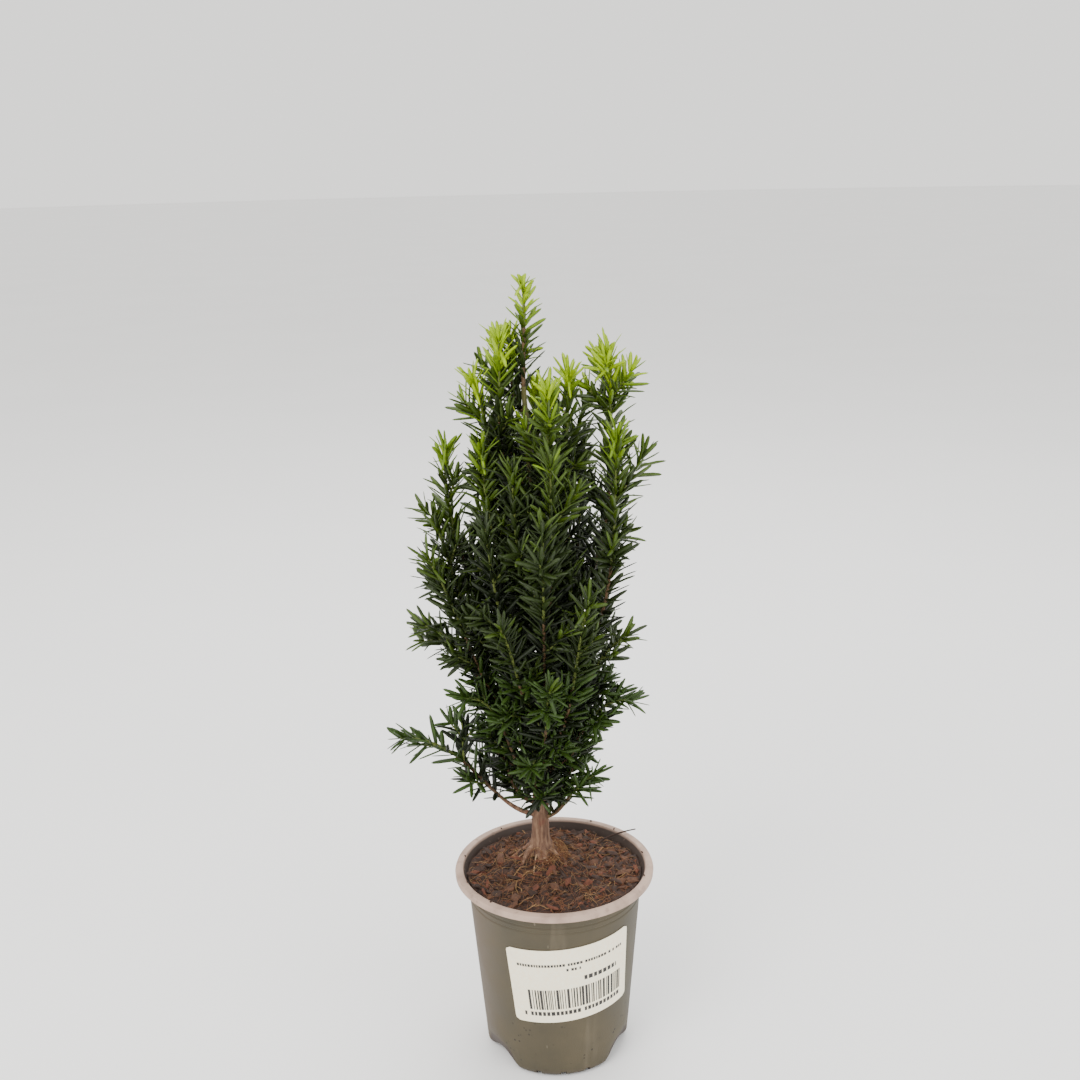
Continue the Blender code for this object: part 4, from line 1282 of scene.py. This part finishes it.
class Grower:
    """Grows every shoot and keeps its needles by green and its twigs by age."""

    def __init__(self, limbs, low, high):
        self.limbs = limbs[:, :3]
        self.limb_radii = limbs[:, 3]
        self.low = np.array(low) + OFF_BOX
        self.high = np.array(high) - OFF_BOX
        self.needles = {green: Needles() for green in GREENS}
        self.twigs = {"brown": Pile(), "green": Pile()}

    def clear(self, spots):
        """Which spots are off the limbs, the pot and the neck, and inside the frame's box."""
        away = np.linalg.norm(spots[:, None] - self.limbs[None], axis=2) - self.limb_radii
        radius = np.hypot(spots[:, 0], spots[:, 1])
        off_pot = (spots[:, 2] > POT_HEIGHT + OVER_POT) | (radius > RIM_RADIUS + BESIDE_POT)
        inside = ((spots > self.low) & (spots < self.high)).all(axis=1)
        out = np.hypot(spots[:, 0] - TRUNK_FOOT.x, spots[:, 1] - TRUNK_FOOT.y)
        off_neck = (out > NECK_REACH) | (spots[:, 2] > NECK_TOP + NECK_SLOPE * out)
        return (away.min(axis=1) > GAP) & off_pot & inside & off_neck

    def fitted(self, roots, aim, reach):
        """Each needle's length, made shorter where it has to be, and which ones fit."""
        keep = np.zeros(len(roots), bool)
        for shorter in NEEDLE_FITS:
            tips = roots + aim * (reach * shorter)[:, None] * 1.02
            middles = roots + aim * (reach * shorter)[:, None] * 0.5
            fits = self.clear(tips) & self.clear(middles) & ~keep
            reach = np.where(fits, reach * shorter, reach)
            keep = keep | fits
        return reach, keep

    def spray(self, points, rng, flatten, vigour, size=1.0, young=0.3, tufts=2):
        """Needles round a stem or twig in a spiral, from its foot to the bud at its tip."""
        length = length_of(points)
        count = max(5, int(length / NEEDLE_SPACING / (1 + flatten)))
        tuft = np.linspace(TUFT_FROM, 1.0, tufts)
        shares = np.concatenate([np.linspace(0.04, 0.98, count), tuft])
        spread = np.concatenate([np.zeros(count), np.linspace(TUFT_SPREAD, 0.0, tufts)])
        count += tufts
        known = np.linspace(0.0, 1.0, len(points))
        here = np.stack([np.interp(shares, known, column) for column in points.T], axis=1)
        # Needles that share a root still need a heading, so each moves on a hair's breadth
        onward = np.arange(count)[:, None] * 1e-6 * (points[-1] - points[0])
        headings, across = carried_frames(here + onward)
        turns = rng.uniform(0, 2 * math.pi) + np.arange(count) * GOLDEN_ANGLE
        turns = turns + rng.normal(0, 0.16, count)
        outward = across * np.cos(turns)[:, None]
        outward = outward + np.cross(headings, across) * np.sin(turns)[:, None]
        outward[:, 2] *= 1 - flatten
        outward = unit(outward - headings * (outward * headings).sum(axis=1, keepdims=True))
        to_tip = np.clip((shares - TIP_FROM) / TIP_SPAN, 0, 1)
        angle = mix(NEEDLE_ANGLE, NEEDLE_TIP_ANGLE, to_tip) + spread
        angle = angle + rng.normal(0, 0.11, count)
        aim = headings * np.cos(angle)[:, None] + outward * np.sin(angle)[:, None]
        aim = aim + np.cross(headings, outward) * rng.normal(0, 0.10, count)[:, None]
        aim = unit(aim + UP * 0.10)
        face = headings * (1 - flatten) + UP * flatten
        top = unit(face - aim * (aim * face).sum(axis=1, keepdims=True))
        roll = rng.normal(0, NEEDLE_ROLL, count)[:, None]
        top = top * np.cos(roll) + np.cross(aim, top) * np.sin(roll)
        height = here[:, 2]
        shrink = (height - YOUNG_HEIGHT) / (LEADER_TOP - YOUNG_HEIGHT)
        shrink = young * np.clip(shrink, 0, 1)
        reach = NEEDLE * size * mix(1.0, TIP_SIZE, to_tip) * mix(1.0, YOUNG_SIZE, shrink)
        reach = reach * rng.uniform(0.84, 1.08, count)
        reach = np.where(shares < FOOT_SHARE, reach * FOOT_SIZE, reach)
        width = NEEDLE_WIDTH * mix(1.0, TIP_SIZE, np.maximum(to_tip, shrink))
        width = width * rng.uniform(0.85, 1.1, count)
        bend = rng.normal(0.05, 0.08, count)
        sweep = rng.normal(0.0, 0.06, count)
        reach, keep = self.fitted(here, aim, reach)
        rows = np.hstack([here, aim, top, np.stack([reach, width, bend, sweep], axis=1)])
        # Painted sunlight: needles high in the crown gain vigour, kept here as age, so they take
        # lighter greens
        sunlit = np.clip((height - SUNLIT_HEIGHT) / SUNLIT_DEPTH, 0, 1)
        age = vigour(shares) + SUNLIT_VIGOUR * sunlit + rng.normal(0, 0.035, count)
        greens = np.array([green_of(*needle) for needle in zip(age, height)])
        for green, kept in self.needles.items():
            kept.add(rows[keep & (greens == green)])

    def wood(self, points, root_radius, tip_radius, age):
        radii = np.linspace(root_radius, tip_radius, len(points))
        self.twigs[age].add(*tube(points, radii, 6))


def green_of(vigour, height):
    """The green for a needle's vigour, with a green of its own low in the crown."""
    for green, least in GREEN_FROM.items():
        if vigour > least:
            low = height < LOWER_HEIGHT and green in ("mature", "old")
            return "lower" if low else green
    # The least vigorous needles, mostly inside the crown, take the painted shade green
    return "shade"


def vigour_of(shares, own, young, luck, rates):
    """Vigour of needles at shares of their own stem, which count as so far up the shoot."""
    foot, way, youth, power, tip, tip_from = rates
    return foot + way * own + youth * young * own**power + tip * (shares > tip_from) + luck


def side_twigs(shoot, path, start, rng):
    """Foot, run and lift of each side twig, turned about the stem by the golden angle."""
    known = path(np.linspace(start, 1.0, 30))
    length = length_of(known)
    turn = rng.uniform(0, 2 * math.pi)
    count = shoot.twigs
    if shoot is not LEADER:
        count += 1 + (shoot.top > YOUNG_HEIGHT)
    stations = [mix(0.10, 0.86, (i + 0.5) / count) for i in range(count)]
    if shoot.bare and shoot.top > YOUNG_HEIGHT:
        stations += STRONG_TIP_TWIGS
    for along in stations:
        share = mix(start, 1.0, along)
        turn += GOLDEN_ANGLE
        root = path(share)
        heading = unit(path(min(1.0, share + 0.02)) - path(share - 0.02))
        side = unit(np.cross(heading, (0.31, 0.92, 0.24)))
        outward = side * math.cos(turn) + np.cross(heading, side) * math.sin(turn)
        at_back = max(0.0, math.sin(math.radians(shoot.azimuth)))
        outward = unit(outward + BACKWARD * at_back)
        aim = heading * math.cos(TWIG_ANGLE) + outward * math.sin(TWIG_ANGLE)
        reach = min(TWIG_LENGTH, length * (1.05 - along) * TWIG_SHARE)
        reach = reach * rng.uniform(0.55, 1.0)
        reach *= 1 + BACK_REACH * max(0.0, aim[1])
        yield along, root, aim * reach, UP * reach * TWIG_LIFT


def grow_shoot(shoot, path, grower, seed):
    """A shoot's stem, side twigs and the finer twigs on them, all with needles."""
    rng = np.random.default_rng(seed + 100)
    flatten = 0.6 * max(0.0, 1 - max(0.0, shoot.lean) / 60)
    start = shoot.bare
    stem = path(np.linspace(start, 1.0, STEM_STEPS))
    root_radius = BOUGH_TIP_RADIUS if shoot.bare else STEM_RADIUS
    middle = mix(root_radius, STEM_TIP_RADIUS, 0.55)
    grower.wood(stem[: BROWN_STEPS + 1], root_radius, middle, "brown")
    grower.wood(stem[BROWN_STEPS:], middle, STEM_TIP_RADIUS, "green")
    luck = rng.normal(0, 0.04)
    young_from, young_span = YOUNG_TIPS
    young = float(np.clip((shoot.top - young_from) / young_span, 0.0, 1.0))

    def stem_vigour(shares):
        return vigour_of(shares, shares, young, luck, STEM_VIGOUR)

    shrink = 1.0 if shoot is LEADER else 0.1
    grower.spray(stem, rng, flatten, stem_vigour, young=shrink, tufts=TIP_NEEDLES)
    for along, root, run, lift in side_twigs(shoot, path, start, rng):
        shares = np.linspace(0.0, 1.0, TWIG_STEPS)[:, None]
        points = root + run * shares + lift * shares**2
        if not grower.clear(points[2:]).all():
            continue
        grower.wood(points, TWIG_RADIUS, TWIG_TIP_RADIUS, "green")
        fortune = rng.normal(0, 0.05)

        def twig_vigour(shares, along=along, fortune=fortune):
            own = along + (1 - along) * TWIG_YOUTH * shares
            return vigour_of(shares, own, young, fortune, TWIG_VIGOUR)

        grower.spray(points, rng, flatten, twig_vigour, 0.90)
        if shoot.lean < SPRAY_LEAN:
            grow_twiglets(points, rng, flatten, twig_vigour, grower)


def grow_twiglets(points, rng, flatten, vigour, grower):
    """One or two short twiglets on a twig that is long enough for them."""
    length = length_of(points)
    one_from, two_from = TWIGLET_FROM
    if length < one_from:
        return
    heading = unit(points[-1] - points[0])
    side = unit(np.cross(heading, UP + 0.01))
    for sign in (1, -1)[: 1 + (length > two_from)]:
        foot = points[4 if sign > 0 else 5]
        turn = rng.normal(0, 0.5)
        outward = side * math.cos(turn) + np.cross(heading, side) * math.sin(turn)
        run = unit(heading * 0.75 + outward * sign * 0.66) * length * rng.uniform(0.38, 0.55)
        shares = np.linspace(0.0, 1.0, 6)[:, None]
        small = foot + run * shares
        if grower.clear(small[2:]).all():
            grower.wood(small, TWIG_TIP_RADIUS * 1.2, TWIG_TIP_RADIUS, "green")
            grower.spray(small, rng, flatten, vigour, 0.82)


def grow_trunk_twigs(grower):
    """Short dark twigs from the trunk itself, which fill the middle of the crown."""
    rng = np.random.default_rng(61)
    foot, way = TRUNK_TWIG_VIGOUR
    turn = 0.0
    for height in np.linspace(*TRUNK_TWIG_HEIGHTS, TRUNK_TWIGS):
        turn += GOLDEN_ANGLE
        centre, radius = trunk_at(height)
        out = np.array((math.cos(turn), math.sin(turn), 0.0))
        shares = np.linspace(0.0, 1.0, 8)[:, None]
        reach = rng.uniform(0.016, 0.028)
        points = centre + out * (radius + reach * shares)
        points = points + UP * reach * (0.35 * shares + 0.5 * shares**2)
        if not grower.clear(points[2:]).all():
            continue
        grower.wood(points, TWIG_RADIUS, TWIG_TIP_RADIUS, "brown")
        grower.spray(points, rng, 0.1, lambda shares: foot + way * shares, 0.92)


def limb_rows(shoots, paths):
    """Points along the trunk and every bare bough, each with its radius."""
    rows = []
    for height in np.linspace(TRUNK_STATIONS[0][0], TRUNK_STATIONS[-1][0], 160):
        centre, radius = trunk_at(height)
        rows.append((*centre, radius))
    for shoot in shoots:
        if shoot.bare:
            for share in np.linspace(0.25, 0.85, 10) * shoot.bare:
                rows.append((*paths[shoot.name](share), BOUGH_TIP_RADIUS))
    return np.array(rows)


def needle_green(green, colour):
    """A waxy green with only a faint mottle, so that it stays the green it was dealt for its age
    and painted light.
    """
    finish = Finish(f"needle_{green}")
    mottle = finish.noise(260.0, 2.0)
    dark = [part * 0.86 for part in colour]
    light = [min(255, part * 1.10) for part in colour]
    shade = finish.shades(mottle, dark, light)
    normal = finish.bump(finish.noise(900.0, 1.0), 0.0001)
    return finish.wear(Base_Color=shade, Roughness=0.46, Specular_IOR_Level=0.36, Normal=normal)


def make_wood(shoots, paths):
    """The trunk with its bare boughs and bark roots, and the pale roots beside it."""
    bark = Pile()
    pale = Pile()
    bark.add(*trunk_form())
    radii = np.linspace(BOUGH_RADIUS, BOUGH_TIP_RADIUS, BOUGH_STEPS)
    boughs = []
    for seed, shoot in enumerate(shoots):
        if shoot.bare:
            shares = np.linspace(0.0, shoot.bare * BOUGH_OVERLAP, BOUGH_STEPS)
            bark.add(*bark_tube(paths[shoot.name](shares), radii, 14, seed))
            boughs.append(f"bough_{shoot.name}")
    surface_roots(bark, BARK_ROOTS, 14, 0.62)
    surface_roots(pale, PALE_ROOTS, 8, 0.4)
    name = "trunk_and_boughs"
    piece(name, bark.mesh(name), trunk_bark(), "trunk_bark", "trunk", *boughs)
    pale_wood = woody("pale_root", (142, 112, 84), (188, 160, 126), *ROOT_GRAIN)
    piece("roots_pale", pale.mesh("roots_pale"), pale_wood, "trunk_bark")


def make_plant():
    shoots = (LEADER, *SHOOTS)
    paths = {shoot.name: shoot_path(shoot) for shoot in SHOOTS}
    paths["leader"] = leader_path()
    grower = Grower(limb_rows(shoots, paths), *cad_box)
    for seed, shoot in enumerate(shoots):
        grow_shoot(shoot, paths[shoot.name], grower, seed)
    grow_trunk_twigs(grower)
    make_wood(shoots, paths)

    masses = [f"foliage_{shoot.name}" for shoot in shoots]
    twig_colours = {"brown": ((70, 52, 34), (110, 84, 56)), "green": ((70, 84, 34), (112, 122, 52))}
    for age, colours in twig_colours.items():
        name = f"twigs_{age}"
        finish = woody(f"twig_{age}", *colours, *TWIG_GRAIN)
        piece(name, grower.twigs[age].mesh(name), finish, "needle_foliage", *masses)
    for tone, colour in GREENS.items():
        finish = needle_green(tone, colour)
        for part, mesh in enumerate(grower.needles[tone].meshes(f"needles_{tone}")):
            piece(f"needles_{tone}_{part}", mesh, finish, "needle_foliage", *masses)


# Studio


def make_floor():
    """A wide pale floor that stays out of the plant's own pieces."""
    shape = bmesh.new()
    bmesh.ops.create_circle(shape, cap_ends=True, segments=96, radius=FLOOR_RADIUS)
    mesh = bpy.data.meshes.new("floor")
    shape.to_mesh(mesh)
    shape.free()
    finish = Finish("floor_matte")
    darker, lighter = (0.86, 0.86, 0.86, 1), (0.88, 0.88, 0.88, 1)
    shade = finish.ramp(finish.noise(3.0), (0.3, darker), (0.7, lighter))
    mesh.materials.append(finish.wear(Base_Color=shade, Roughness=0.9))
    placed("floor", mesh)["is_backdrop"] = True


def make_light(name, spot, size, power, tint):
    lamp = bpy.data.lights.new(name, "AREA")
    lamp.shape = "DISK"
    lamp.size = size
    lamp.energy = power
    lamp.color = tint
    made = placed(name, lamp)
    made.location = spot
    toward = Vector(LIT_SPOT) - Vector(spot)
    made.rotation_euler = toward.to_track_quat("-Z", "Y").to_euler()


def make_studio():
    make_floor()
    for light in LIGHTS:
        make_light(*light)
    world = bpy.data.worlds.new("pale_room")
    world.use_nodes = True
    room = world.node_tree.nodes["Background"]
    room.inputs["Color"].default_value = ROOM_TINT
    room.inputs["Strength"].default_value = ROOM_LIGHT
    bpy.context.scene.world = world


def make_camera():
    forward = Vector((0.0, math.cos(LOOKS_DOWN), -math.sin(LOOKS_DOWN)))
    level = Vector((1.0, 0.0, 0.0))
    upward = level.cross(forward)
    right = level * math.cos(ROLLS) + upward * math.sin(ROLLS)
    top = upward * math.cos(ROLLS) - level * math.sin(ROLLS)
    lens = bpy.data.cameras.new("camera")
    lens.sensor_width = SENSOR
    lens.lens = LENS
    camera = placed("camera", lens)
    turn = Matrix((right, top, -forward)).transposed()
    camera.matrix_world = Matrix.Translation(EYE) @ turn.to_4x4()
    bpy.context.scene.camera = camera


make_camera()
make_pot()
make_label()
make_compost()
make_plant()
make_studio()

shown_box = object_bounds()
[[list(corner) for corner in box] for box in (cad_box, shown_box)]
